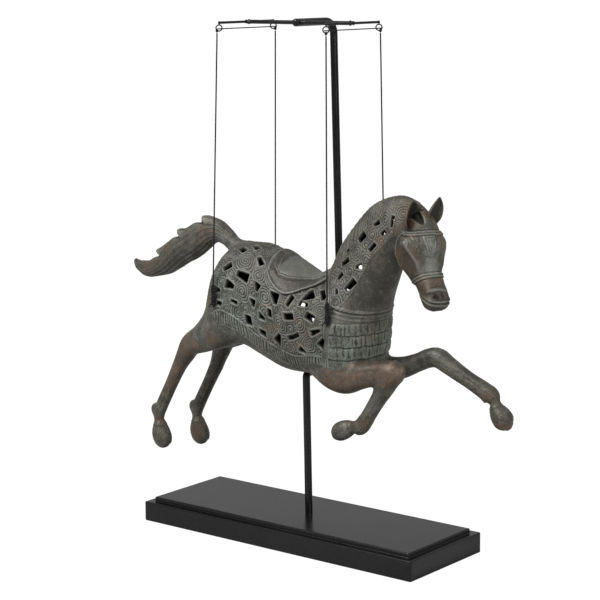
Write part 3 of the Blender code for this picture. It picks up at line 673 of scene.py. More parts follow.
FOREARM = (
    (40, 224, 14, 12, 15), (58, 212, 17, 17, 18), (78, 208, 18.5, 18, 17.5),
    (100, 213, 15.5, 16.5, 15), (122, 218, 13.5, 14.5, 13), (142, 222, 13.5, 13.5, 13),
    (154, 222.5, 10, 10, 10), (159.5, 222.5, 3, 3, 3),
)
BENT_CANNON = (
    (151, 228, 2.5, 2.5, 2.5), (148, 223.5, 8, 8, 8.5), (137.5, 208, 11, 11, 10.5),
    (124.5, 187.5, 9.5, 8.5, 8.8), (113, 170.5, 8.5, 8.2, 8.2), (105, 159.5, 8.7, 9.5, 8.5),
    (98, 154, 8, 10.5, 9), (90, 152, 7, 7, 6.5), (84.5, 150, 9.5, 9, 8.5),
    (77, 146.5, 11.3, 10.5, 11), (69.5, 142.5, 11, 10, 10.5), (64, 139.5, 7, 6.5, 7),
    (61.5, 138.5, 2.5, 2.5, 2.5),
)
REACHING_LEG = (
    (58, 216, 14, 14, 15), (90, 212, 15, 14.5, 15), (116, 214.5, 12.5, 13, 13),
    (140, 224, 10.8, 10.8, 10.5), (156, 231, 11, 11.2, 10.5), (168.5, 233, 12, 11, 10.5),
    (181, 226.5, 10.5, 10.5, 9.8), (196, 219, 9.8, 9.8, 9), (212, 211.5, 9.2, 9.2, 8.5),
    (230, 203.5, 10, 9.6, 8.8), (240, 198, 11.5, 9.5, 8.8), (244.5, 191, 6.3, 6.3, 6),
    (247, 185, 9, 9, 8.5), (251.5, 178, 11.5, 12, 11), (257, 171, 11.5, 12, 11),
    (261.5, 166, 7, 7, 7), (263.5, 163.5, 2.5, 2.5, 2.5),
)
TAIL = (
    (-94, 336, 9, 9, 9), (-110, 343, 9.5, 9, 9.5), (-121, 351, 10, 10, 10.5),
    (-134, 356, 13, 12.5, 11.5), (-148, 353.5, 17, 15, 12.5), (-161, 346, 20.5, 17, 13),
    (-176, 336, 20.5, 17, 13), (-191, 328, 21, 16, 12.5), (-206, 318, 20, 15, 12),
    (-221, 309, 16, 13.5, 11), (-236, 303.5, 12, 11.5, 9.5), (-250, 300.5, 9.5, 10, 8),
    (-262, 302, 7.5, 7.5, 6), (-269, 306, 4.5, 4.5, 4), (-273, 310, 1.2, 1.2, 1.2),
)
LIMB_POWERS = (2.1, 2.1)
print("sections given for body, neck and head:", len(BODY), len(NECK), len(HEAD))

# %% Curves through rows, and superellipse sections
def through(rows, count):
    """Rows as a smooth run of `count` rows, on Catmull-Rom curves through all of them."""
    knots = np.array(rows, float)
    padded = np.vstack((2 * knots[0] - knots[1], knots, 2 * knots[-1] - knots[-2]))
    place = np.linspace(0, len(knots) - 1, count)
    start = np.minimum(place.astype(int), len(knots) - 2)
    t = (place - start)[:, None]
    a, b, c, d = (padded[start + k] for k in range(4))
    bend = (2 * a - 5 * b + 4 * c - d) * t**2 + (3 * b - a - 3 * c + d) * t**3
    return 0.5 * (2 * b + (c - a) * t + bend)


def shaped(value, power):
    """A sine or cosine drawn out so that a circle becomes a superellipse of that power."""
    return np.sign(value) * np.abs(value) ** (2 / power)


def eased(low, high, value):
    """0 below low and 1 above high, with the cubic 3t^2 - 2t^3 between; low may exceed high."""
    t = np.clip((value - low) / (high - low), 0.0, 1.0)
    return t * t * (3 - 2 * t)


print("a circle's point at 45 degrees, drawn out:", round(float(shaped(math.sqrt(0.5), 2.9)), 3))

# %% The head's own frame
def turned_head(points):
    """Points (reach, side, z) in the head's own plane, in the horse's frame."""
    reach, side, z = points[..., 0], points[..., 1], points[..., 2]
    x = HEAD_PIVOT_X + reach * math.cos(HEAD_TURN) + side * math.sin(HEAD_TURN)
    y = side * math.cos(HEAD_TURN) - reach * math.sin(HEAD_TURN)
    return np.stack((x, y, z), axis=-1)


def head_frame(points):
    """The other way: points of the horse's frame as (reach, side, z) in the head's plane."""
    x, y, z = points[..., 0] - HEAD_PIVOT_X, points[..., 1], points[..., 2]
    reach = x * math.cos(HEAD_TURN) - y * math.sin(HEAD_TURN)
    side = x * math.sin(HEAD_TURN) + y * math.cos(HEAD_TURN)
    return np.stack((reach, side, z), axis=-1)


print("the head is turned by degrees:", round(math.degrees(HEAD_TURN), 1))

# %% [markdown]
# Cast limbs don't end at a line, they flow into the body. To let neighbouring skins flow into each
# other, every form can also say how far any point lies outside it: the point's nearest section is
# found, its distance from the section's middle is compared with the superellipse's size in that
# direction, and the difference is the distance. A skin is then lifted until the smooth union of
# its own distance and its neighbours' is zero, which gives a fillet that both skins share. What
# lies deeper in a neighbour than that is cut away.

# %% A form: sections, skin and distance
class Form:
    """Sections in a plane: first and second point, half width, powers and the widest place."""

    def __init__(self, name, rows, powers, waist, middle_y=0.0, plane=None):
        self.name, self.powers, self.middle_y, self.plane = name, powers, middle_y, plane
        self.first, self.second, self.half = rows[:, 0:2], rows[:, 2:4], rows[:, 4]
        self.waist = np.broadcast_to(waist, len(rows)).astype(float)
        self.middle = self.first + (self.second - self.first) * self.waist[:, None]

    def at(self, place):
        """First point, second point, middle and half width at places from 0 to 1."""
        where = np.asarray(place) * (len(self.half) - 1)
        index = np.arange(len(self.half))

        def read(values):
            return np.interp(where, index, values)

        lines = (self.first, self.second, self.middle)
        edges = [np.stack([read(line[:, k]) for k in (0, 1)], -1) for line in lines]
        return *edges, read(self.half)

    def skin(self, place, turn):
        """Points at places along and turns round: middle plus shaped cosine and sine."""
        first, second, middle, half = self.at(place)
        cosine = np.cos(turn)
        power = np.where(cosine >= 0, *self.powers)
        reach = np.abs(shaped(cosine, power))[..., None]
        plane = middle + np.where(cosine[..., None] >= 0, first - middle, second - middle) * reach
        side = self.middle_y + half * shaped(np.sin(turn), power)
        points = np.stack((plane[..., 0], side, plane[..., 1]), -1)
        return points if self.plane is None else turned_head(points)

    def distance(self, points):
        """How far points lie outside the form: length from the middle times 1 - 1 / rho."""
        if self.plane is not None:
            points = head_frame(points)
        flat = points[:, (0, 2)]
        run = self.second - self.first
        depth = norm(run, axis=1)
        run = run / depth[:, None]
        from_middle = flat[:, None] - self.middle[None]
        along = (from_middle * run[None]).sum(-1)
        across = np.abs(from_middle[..., 0] * run[None, :, 1] - from_middle[..., 1] * run[None, :, 0])
        past = np.maximum(np.abs(along) - 0.65 * depth[None], 0.0)
        best = np.argmin(across + past, axis=1)
        pick = np.arange(len(flat))
        along, across = along[pick, best], across[pick, best]
        toward_second = along >= 0
        share = np.where(toward_second, 1 - self.waist[best], self.waist[best])
        power = np.where(toward_second, self.powers[1], self.powers[0])
        a = np.abs(along) / (depth[best] * share)
        b = np.abs(points[:, 1] - self.middle_y) / self.half[best]
        rho = np.maximum((a**power + b**power) ** (1 / power), 0.05)
        out = np.hypot(along, points[:, 1] - self.middle_y) * (1 - 1 / rho)
        beyond = np.where((best == 0) | (best == len(depth) - 1), across, 0.0)
        return np.hypot(np.maximum(out, 0), beyond) + np.minimum(out, 0) * (beyond < 0.5)


# %% The horse's forms
def edge_form(name, rows, powers, waist, count=200, plane=None):
    return Form(name, through(rows, count), powers, waist, plane=plane)


def path_form(name, rows, middle_y, shift, count=160):
    """A limb's form: half depths laid off square to its path on both sides."""
    path = through(rows, count)
    fade = np.clip(np.linspace(0.0, 4.0, count) - 0.3, 0.0, 1.0)
    path[:, :2] += fade[:, None] * shift
    along = np.gradient(path[:, :2], axis=0)
    along /= norm(along, axis=1)[:, None]
    out = np.column_stack((along[:, 1], -along[:, 0]))
    first = path[:, :2] + out * path[:, 2:3]
    second = path[:, :2] - out * path[:, 3:4]
    waist = path[:, 2] / (path[:, 2] + path[:, 3])
    return Form(name, np.column_stack((first, second, path[:, 4])), LIMB_POWERS, waist, middle_y)


body_rows = [(x, top, x, bottom, half) for x, top, bottom, half in BODY]
FORMS = {
    "body": edge_form("body", body_rows, BODY_POWERS, 0.5),
    "neck": edge_form("neck", NECK, NECK_POWERS, NECK_WAIST),
    "head": edge_form("head", HEAD, HEAD_POWERS, HEAD_WAIST, plane="head"),
}
# Limbs: rows, distance to the left of the middle plane, shift in x and z below the root
LIMBS = {
    "right_hind": (HIND_LEG, -LEG_Y, (0.0, 0.0)),
    "left_hind": (HIND_LEG, LEG_Y, FAR_HIND_SHIFT),
    "right_forearm": (FOREARM, -LEG_Y, (0.0, 0.0)),
    "right_cannon": (BENT_CANNON, -LEG_Y, (0.0, 0.0)),
    "left_foreleg": (REACHING_LEG, LEG_Y, (0.0, 0.0)),
    "tail": (TAIL, 0.0, (0.0, 0.0)),
}
FORMS.update({name: path_form(name, *limb) for name, limb in LIMBS.items()})
for form in FORMS.values():
    span = np.ptp(form.middle, axis=0)
    print(form.name, "spans", np.round(span, 1), "mm, widest", round(2 * form.half.max(), 1))

# %% Blends between neighbouring forms
# How far each pair of forms flows into each other, in millimetres
BLENDS = {
    ("body", "neck"): 6.0,
    ("body", "right_hind"): 15.0,
    ("body", "left_hind"): 13.0,
    ("body", "right_forearm"): 12.0,
    ("body", "left_foreleg"): 12.0,
    ("body", "tail"): 12.0,
    ("neck", "head"): 4.5,
    ("neck", "right_forearm"): 9.0,
    ("neck", "left_foreleg"): 9.0,
    ("right_forearm", "right_cannon"): 8.0,
}
SINK = 0.8  # how far a skin goes under its neighbour before it ends


def near(points, form, reach):
    """Which points lie in the form's box, grown by reach."""
    every = np.vstack((form.first, form.second, form.middle))
    low, high = every.min(0) - reach, every.max(0) + reach
    wide = form.half.max() + reach
    flat = points if form.plane is None else head_frame(points)
    inside = (flat[:, 0] > low[0]) & (flat[:, 0] < high[0])
    inside &= (flat[:, 2] > low[1]) & (flat[:, 2] < high[1])
    return inside & (np.abs(flat[:, 1] - form.middle_y) < wide)


def settled(points, normals, name, steps=3):
    """Points lifted onto the smooth union with the neighbours, and how deep each one is buried.

    The smooth union of distances a and b is the smaller one less h^2 k / 4, where h is
    max(k - |a - b|, 0) / k. Buried is own distance less the neighbour's: above 0 the point
    belongs to the neighbour's skin."""
    flat, lift = points.reshape(-1, 3).copy(), normals.reshape(-1, 3)
    buried = np.full(len(flat), -50.0)
    own = FORMS[name]
    for pair, reach in BLENDS.items():
        if name not in pair:
            continue
        form = FORMS[pair[pair[0] == name]]
        chosen = np.flatnonzero(near(flat, form, reach + 2))
        if not len(chosen):
            continue
        moved = flat[chosen].copy()
        for _ in range(steps):
            a, b = own.distance(moved), form.distance(moved)
            h = np.maximum(reach - np.abs(a - b), 0) / reach
            gap = np.minimum(a, b) - h * h * reach / 4
            moved -= lift[chosen] * np.clip(gap, -reach / 2, 0.5)[:, None]
        touched = form.distance(flat[chosen]) < reach
        a, b = own.distance(moved), form.distance(moved)
        flat[chosen[touched]] = moved[touched]
        buried[chosen] = np.maximum(buried[chosen], a - b)
    under = np.clip(buried, 0.0, SINK)
    flat -= lift * under[:, None] * 0.8
    return flat.reshape(points.shape), buried.reshape(points.shape[:-1])


print("pairs of forms that flow into each other:", len(BLENDS))

# %% Normals, and contrast of a relief
def skin_normals(points, ring=False):
    """Unit normals of a grid from the cross product of its two directions, turned outward."""
    down = np.gradient(points, axis=0)
    if ring:
        across = (np.roll(points, -1, 1) - np.roll(points, 1, 1)) / 2
    else:
        across = np.gradient(points, axis=1)
    normal = np.cross(across, down)
    normal /= np.maximum(norm(normal, axis=-1, keepdims=True), 1e-9)
    out = points - points.mean(1 if ring else (0, 1), keepdims=True)
    return normal if np.sum(normal * out) > 0 else -normal


def contrast(height, rounds, scale, ring=False):
    """Height less its own blur, over scale, from -1 to 1: 1 on narrow ridges, -1 in narrow grooves."""
    blur = height.copy()
    for _ in range(rounds):
        if ring:
            across = (np.roll(blur, -1, 1) + np.roll(blur, 1, 1)) / 2
        else:
            padded = np.pad(blur, ((0, 0), (1, 1)), mode="edge")
            across = (padded[:, 2:] + padded[:, :-2]) / 2
        padded = np.pad(blur, ((1, 1), (0, 0)), mode="edge")
        blur = (2 * blur + across + (padded[2:] + padded[:-2]) / 2) / 4
    return np.clip((height - blur) / scale, -1.0, 1.0)

# %% [markdown]
# The casting is pierced by small openings between its scrolls. Each is a trapezium with soft
# corners, laid out on the flank by its place along the body and its girth distance down from the
# top line, and on the neck by its place seen from the side. A distance function tells how far any
# point of a skin lies outside the nearest opening. Points close to zero are slid onto the edge,
# points inside are dropped, and a wall is drawn inward from the edge that is left, so the metal's
# thickness shows.

# %% Places of the openings, in millimetres and degrees
# Openings in each flank: x, girth distance from the top line, length, width, tilt down from +X,
# and the width at the starting end as a share of the width at the other
FLANK_HOLES = (
    (-74.5, 26, 13, 7, 25, 0.8), (-61.5, 15.5, 10, 7, 25, 0.6), (-43.5, 32.5, 12, 6.5, 40, 0.5),
    (-81.5, 53.5, 12, 7, -35, 0.7), (-57.5, 59, 17, 10.5, 3, 0.5), (-35.5, 62.5, 9, 7.5, -90, 0.15),
    (-10, 60.5, 12, 12.5, -106, 0.25), (10, 52.5, 16, 5, -72, 0.7), (32.5, 37, 14, 18, 80, 0.1),
    (30, 50.5, 14.5, 6, 188, 0.4), (51.5, 35.5, 16, 6.5, 50, 0.6), (43, 65, 14, 7.5, 20, 0.9),
    (12, 70, 16, 6.5, -25, 0.9), (-73, 74.5, 13, 10, 190, 0.4), (-15, 80.5, 8.5, 5.5, 80, 0.9),
    (-39, 83, 8, 8, -100, 0.15), (-25.5, 91.5, 9, 7.5, 180, 0.15), (-65.5, 92.5, 10, 3.4, 3, 0.8),
    (-45.5, 106.5, 10.5, 9.5, 80, 0.9), (-25, 110, 10, 6.5, -10, 0.8), (-2, 103, 14, 9.5, 110, 0.2),
    (20.5, 90, 21, 4.5, -30, 0.8), (33.5, 104.5, 11.5, 6.5, 207, 0.15),
    (52.5, 80, 16, 5.5, 152, 0.3), (61.5, 89.5, 12.5, 8.5, 114, 0.2), (-89, 96, 11, 4.5, 25, 0.6),
    (-91, 80, 9, 3.4, 37, 0.8),
)
# Openings in each side of the neck: x, z, length, width, tilt up from +X, starting width share
NECK_HOLES = (
    (75.3, 340.4, 14, 5, 35, 0.8), (96, 369.8, 12, 8, 50, 0.8), (115.2, 386.7, 9, 5, 30, 0.4),
    (136.7, 390.5, 14, 3.8, 85, 0.4), (72.2, 324.7, 8.5, 5, 55, 0.7),
    (112.6, 360.2, 12, 4.5, 50, 0.8), (96.7, 337.4, 9, 7, 12, 0.2), (90.3, 316.6, 15, 8, 52, 0.7),
    (73, 308.3, 6, 3.8, -60, 0.6), (125.9, 377.2, 6.8, 4.8, 40, 0.7), (75.8, 353, 6.5, 3, 40, 0.6),
)
FLARE = 0.45  # how much wider each opening is than its table says, in millimetres
# Openings of the left side alone, placed as the neck's are: light shows through them from in front
LEFT_HOLES = (
    (-44.8, 270, 13, 9.5, 20, 0.5), (-27.8, 288, 8, 6, 0, 0.8), (14, 292.4, 7.5, 5.5, 30, 0.7),
    (61.4, 327.6, 12, 9, 40, 0.6),
)
ROUNDING = 0.16  # share of an opening that its corners are rounded by


# %% Distance from the openings
def trapezia(table):
    """Corners of all openings in their plane, shape (openings, 4, 2), and their corner radii."""
    rows = np.array(table)
    length, half, start = rows[:, 2] / 2, rows[:, 3] / 2, rows[:, 5]
    along = np.stack((-length, length, length, -length), 1)
    across = np.stack((-half * start, -half, half, half * start), 1)
    tilt = np.radians(rows[:, 4])[:, None]
    x = rows[:, 0:1] + along * np.cos(tilt) - across * np.sin(tilt)
    y = rows[:, 1:2] + along * np.sin(tilt) + across * np.cos(tilt)
    corners = np.stack((x, y), -1)
    middle = corners.mean(1, keepdims=True)
    return middle + (corners - middle) * (1 - ROUNDING), np.minimum(length, half) * ROUNDING + FLARE


def outside_of(corners, radii, places):
    """Distance of plane points outside the nearest rounded trapezium, negative inside it."""
    best = np.full(len(places), 60.0)
    for shape, radius in zip(corners, radii):
        middle = shape.mean(0)
        reach = np.abs(shape - middle).max() + 12.0
        close = np.flatnonzero(np.abs(places - middle).max(1) < reach)
        if not len(close):
            continue
        from_corner = places[close][:, None] - shape[None]
        edge = np.roll(shape, -1, 0) - shape
        share = (from_corner * edge).sum(-1) / (edge**2).sum(-1)
        away = from_corner - np.clip(share, 0, 1)[..., None] * edge
        gap = norm(away, axis=-1).min(1)
        cross = edge[:, 0] * from_corner[..., 1] - edge[:, 1] * from_corner[..., 0]
        inside = (cross > 0).all(1) | (cross < 0).all(1)
        best[close] = np.minimum(best[close], np.where(inside, -gap, gap) - radius)
    return best


FLANK_SHAPES = trapezia(FLANK_HOLES)
NECK_SHAPES = trapezia(NECK_HOLES)
LEFT_SHAPES = trapezia(LEFT_HOLES)
print("openings in each side:", len(FLANK_HOLES) + len(NECK_HOLES))

# %% The flank's own map: place along the body and girth distance down from the top line
GIRTH_TURNS = np.linspace(0.0, math.pi, 181)
GIRTH_PLACES = np.linspace(0.0, 1.0, 161)


def girth_table():
    """Girth distance from the top line for each place along the body and each turn."""
    place, turn = np.meshgrid(GIRTH_PLACES, GIRTH_TURNS, indexing="ij")
    steps = norm(np.diff(FORMS["body"].skin(place, turn), axis=1), axis=-1)
    return np.concatenate((np.zeros((len(GIRTH_PLACES), 1)), np.cumsum(steps, axis=1)), axis=1)


GIRTH = girth_table()
BODY_X = FORMS["body"].at(GIRTH_PLACES)[0][:, 0]


def flank_place(points):
    """x and girth distance of points, read straight across from the body's middle line."""
    place = np.interp(points[:, 0], BODY_X, GIRTH_PLACES)
    first, second, middle, half = FORMS["body"].at(place)
    rise = (points[:, 2] - middle[:, 1]) / ((first[:, 1] - second[:, 1]) / 2)
    wide = np.abs(points[:, 1]) / half
    power = np.where(rise >= 0, *BODY_POWERS)
    rho = np.maximum((np.abs(rise) ** power + wide**power) ** (1 / power), 1e-6)
    cosine = np.sign(rise) * (np.abs(rise) / rho) ** (power / 2)
    turn = np.arccos(np.clip(cosine, -1, 1)) / math.pi * (len(GIRTH_TURNS) - 1)
    row = np.clip(place * (len(GIRTH_PLACES) - 1), 0, len(GIRTH_PLACES) - 1.001)
    i, j = row.astype(int), np.minimum(turn.astype(int), len(GIRTH_TURNS) - 2)
    s, t = row - i, turn - j
    low = GIRTH[i, j] * (1 - t) + GIRTH[i, j + 1] * t
    high = GIRTH[i + 1, j] * (1 - t) + GIRTH[i + 1, j + 1] * t
    return np.column_stack((points[:, 0], low * (1 - s) + high * s))


print("longest way down the flank in mm:", round(GIRTH[:, -1].max(), 1))

# %% Flank behind the rib, neck ahead of it
# The rib that parts flank from chest and neck: upright below RIB_Z, then leaning back
RIB_X = 65.0
RIB_Z = 298.0
RIB_LEAN = 0.62


def ahead_of_rib(points):
    """How far points lie in front of the rib's line, in x."""
    return points[:, 0] - RIB_X + RIB_LEAN * np.maximum(points[:, 2] - RIB_Z, 0.0)


def outside_openings(points):
    """Distance of the skin's points outside the nearest opening, of the flank or of the neck."""
    ahead = ahead_of_rib(points)
    flank = outside_of(*FLANK_SHAPES, flank_place(points))
    neck = outside_of(*NECK_SHAPES, points[:, (0, 2)])
    left = np.where(points[:, 1] > 12, outside_of(*LEFT_SHAPES, points[:, (0, 2)]), 99.0)
    return np.minimum(np.where(ahead < 0, flank, neck), left)


# %% Cutting the openings out of a skin
SNAP = 0.62  # share of the grid spacing within which a point slides onto an edge
RIM_STEPS = ((0.4, 0.3), (1.3, 0.5), (WALL + 0.3, 0.5))  # depth and reach into the opening


def slope_on(points, normals, distance):
    """Gradient of a distance along the skin, from two small steps square to the normal."""
    aside = np.cross(normals, (0.31, 0.52, 0.79))
    aside /= norm(aside, axis=1)[:, None]
    over = np.cross(normals, aside)
    step = 0.05
    here = distance(points)
    first = (distance(points + aside * step) - here) / step
    second = (distance(points + over * step) - here) / step
    slope = aside * first[:, None] + over * second[:, None]
    size = norm(slope, axis=1)[:, None]
    return slope / np.maximum(size, 0.3)


def cut_openings(points, normals, spacing):
    """Slides points onto the openings' edges; gives points, distances and slopes at the edges."""
    flat, lift = points.reshape(-1, 3).copy(), normals.reshape(-1, 3)
    away = outside_openings(flat)
    edge = np.flatnonzero(np.abs(away) < 1.6 * spacing)
    slope = np.zeros_like(flat)
    slope[edge] = slope_on(flat[edge], lift[edge], outside_openings)
    slid = edge[np.abs(away[edge]) < SNAP * spacing]
    flat[slid] -= slope[slid] * away[slid][:, None]
    away[slid] = 0.0
    return flat.reshape(points.shape), away, slope


def faces_outside(faces, away):
    """Quads that keep four points outside the openings, and triangles where three are left."""
    keep = away[faces] > -0.05
    quads = faces[keep.all(1)]
    three = faces[keep.sum(1) == 3]
    lost = np.argmin(keep[keep.sum(1) == 3], axis=1)
    order = (lost[:, None] + np.arange(1, 4)) % 4
    return quads, np.take_along_axis(three, order, axis=1)


# %% Walls at the openings' rims
def open_edges(quads, triangles, count):
    """Edges that only one face uses, in that face's direction."""
    sides = [quads[:, (k, (k + 1) % 4)] for k in range(4)]
    sides += [triangles[:, (k, (k + 1) % 3)] for k in range(3)]
    edges = np.vstack(sides)
    low, high = edges.min(1), edges.max(1)
    _, place, times = np.unique(low * count + high, return_index=True, return_counts=True)
    return edges[place[times == 1]]


def rim_walls(points, normals, slope, edges):
    """Walls drawn inward from the openings' edges: new points and quads.

    Each step moves an edge point down its normal and a little into the opening."""
    used, numbered = np.unique(edges, return_inverse=True)
    numbered = numbered.reshape(edges.shape)
    size = norm(slope[used], axis=1)[:, None]
    into = -slope[used] / np.maximum(size, 1e-6)
    rows = [points[used] - normals[used] * depth + into * reach for depth, reach in RIM_STEPS]
    start = len(points) + np.arange(len(RIM_STEPS)) * len(used)
    a, b = numbered[:, 0], numbered[:, 1]
    quads = [np.column_stack((edges[:, 1], edges[:, 0], start[0] + a, start[0] + b))]
    for upper, lower in zip(start[:-1], start[1:]):
        quads.append(np.column_stack((upper + b, upper + a, lower + a, lower + b)))
    return np.vstack(rows), np.vstack(quads), np.tile(used, len(RIM_STEPS))


print("rim walls go in by mm:", RIM_STEPS[-1][0])

# %% [markdown]
# Between the openings the metal is covered with scrolls. The real ones were rolled from fine wax
# threads before casting, so each scroll is a spiral of thin ridges that runs into its neighbours.
# Drawing every thread by hand would take thousands of points. Instead the largest free circles
# between the openings become the hearts of the scrolls, one after the other, and each point of
# the skin belongs to the nearest heart. The ridges follow r / pitch + angle / 2 pi, which is a
# spiral, and close to an opening they follow its edge.

# %% Hearts of the scrolls
THREAD = 2.9  # distance between two ridges of a scroll
HEM_TOP = (
    (-140, 92), (-110, 100), (-85, 104), (-60, 112), (-35, 118),
    (-10, 115), (20, 112), (50, 108), (75, 104),
)
HEM_WIDTH = 18.0
CREST_LINE = ((30, 296), (60, 330.6), (89, 372.4), (124.6, 400.5), (150, 411))
THROAT_LINE = ((60, 268), (91.5, 304.5), (110.8, 349.2), (134.4, 373.5), (152.3, 383), (170, 392))


def above(line, x, z):
    """Height of points above a line of (x, z) pairs."""
    return z - np.interp(x, *np.array(line, float).T)


def hearts(shapes, low, high, free, smallest, largest, count):
    """Middles and radii of the largest circles that fit between the openings, biggest first."""
    x, y = np.meshgrid(np.arange(low[0], high[0], 1.2), np.arange(low[1], high[1], 1.2))
    places = np.column_stack((x.ravel(), y.ravel()))
    room = np.minimum(outside_of(*shapes, places) + 0.6, free(places))
    found = []
    for _ in range(count):
        best = int(np.argmax(room))
        radius = min(room[best], largest)
        if radius < smallest:
            break
        found.append((*places[best], radius))
        room = np.minimum(room, norm(places - places[best], axis=1) - radius)
    return np.array(found)


def flank_room(places):
    x, drop = places.T
    return np.minimum(-above(HEM_TOP, x, drop) + 3, RIB_X - x + 2)


def neck_room(places):
    x, z = places.T
    return np.minimum(-above(CREST_LINE, x, z), above(THROAT_LINE, x, z)) * 0.8 + 2


FLANK_HEARTS = hearts(FLANK_SHAPES, (-140, 6), (66, 120), flank_room, 4.0, 13.0, 90)
NECK_HEARTS = hearts(NECK_SHAPES, (50, 290), (150, 400), neck_room, 3.6, 9.0, 50)
print("scrolls on each flank:", len(FLANK_HEARTS), "and on each side of the neck:", len(NECK_HEARTS))

# %% Ridges of the scrolls
def scroll_height(places, away, circles, shift=0.0):
    """Height from -1 to 1 of the threads: spirals round the hearts, lines along the openings."""
    x, y = places.T
    drift_x = np.sin(y / 6.3 + x / 11) + 0.5 * np.sin(y / 2.9)
    drift_y = np.sin(x / 5.1 - y / 9) + 0.5 * np.sin(x / 3.3)
    from_heart = (places + 0.8 * np.column_stack((drift_x, drift_y)))[:, None] - circles[None, :, :2]
    radius = norm(from_heart, axis=-1)
    order = np.argpartition(radius - circles[None, :, 2], 1, axis=1)[:, :2]
    pick = np.arange(len(places))
    claim = (radius - circles[None, :, 2])[pick[:, None], order]
    swap = claim[:, 0] > claim[:, 1]
    nearest = np.where(swap, order[:, 1], order[:, 0])
    border = np.abs(claim[:, 1] - claim[:, 0])
    angle = np.arctan2(from_heart[pick, nearest, 1], from_heart[pick, nearest, 0])
    hand = np.where(nearest % 2 == 0, 1, -1)
    phase = radius[pick, nearest] / THREAD + hand * angle / (2 * math.pi) + shift
    spiral = np.cos(2 * math.pi * phase)
    spiral = spiral * eased(0, 1.6, border) - 0.9 * eased(1.4, 0, border)
    heart = eased(2, 0.6, radius[pick, nearest])
    spiral = spiral * (1 - heart) + heart
    along_edge = np.cos(2 * math.pi * (away - 1) / THREAD)
    share = eased(1.8, 4, away + 0.9 * np.sin(x / 4.1) * np.sin(y / 3.7))
    return along_edge * (1 - share) + spiral * share


def bars(value, period, duty=0.5, edge=0.18):
    """Flat-topped ribs: 1 on a rib, 0 between, with soft edges, once every period."""
    share = np.abs(np.mod(value / period, 1) - 0.5) * 2
    return eased(1 - duty - edge, 1 - duty + edge, 1 - share)


def bell(value, width):
    """A soft bump: 1 at zero, fading as the square grows."""
    return np.exp(-((value / width) ** 2))


def bead(value, half):
    """A rounded moulding of half width `half` about zero."""
    return np.sqrt(np.clip(1 - (value / half) ** 2, 0, 1))


print("threads of a scroll are apart by mm:", THREAD)

# %% Relief of the flank
def flank_relief(points, away):
    """Scrolls above the hem, a band of upright strokes, and the smooth belly below it."""
    place = flank_place(points)
    x, drop = place.T
    below = above(HEM_TOP, x, drop)
    worn = 0.8 + 0.34 * np.sin(x / 15 + 0.7) * np.sin(drop / 12 + x / 31)
    scrolls = 0.58 * worn * scroll_height(place, away, FLANK_HEARTS)
    scrolls += 0.9 * bell(away - 1.2, 1.8) - 0.3
    drift = 0.45 * np.sin(below / 3 + x / 9) + np.sin(x / 5.3 + 1) + 0.5 * np.sin(x / 2.3)
    strokes = (0.5 + 0.2 * np.sin(x / 3.9 + below / 4)) * (2 * bars(x + drift, 3.6, 0.6) - 1)
    in_hem = eased(1, 2.5, below) * eased(HEM_WIDTH - 1, HEM_WIDTH - 3, below)
    height = scrolls * eased(0.5, -1, below) + strokes * in_hem
    height += 0.75 * bead(below - 0.6, 1.5) + 0.7 * bead(below - HEM_WIDTH, 1.6)
    height += 0.45 * bead(below - HEM_WIDTH * 0.55, 0.8) * np.where(x < 5, 0, 1)
    return height + 0.35 * eased(HEM_WIDTH + 1, HEM_WIDTH - 2, below)


# %% Relief of neck and chest
CHEST_ROWS = (273.0, 259.5, 246.0, 231.5)  # edges of the three rows of flutes
FLUTE = 5.0
COLLAR = ((66, 291.8), (87.6, 287.8), (102.8, 284.6), (118, 282.5))


def around_chest(points):
    """Length round the front of the chest, from the middle of the breast, at a point's height."""
    return np.arctan2(np.abs(points[:, 1]) * 1.15, points[:, 0] - 48) * 52


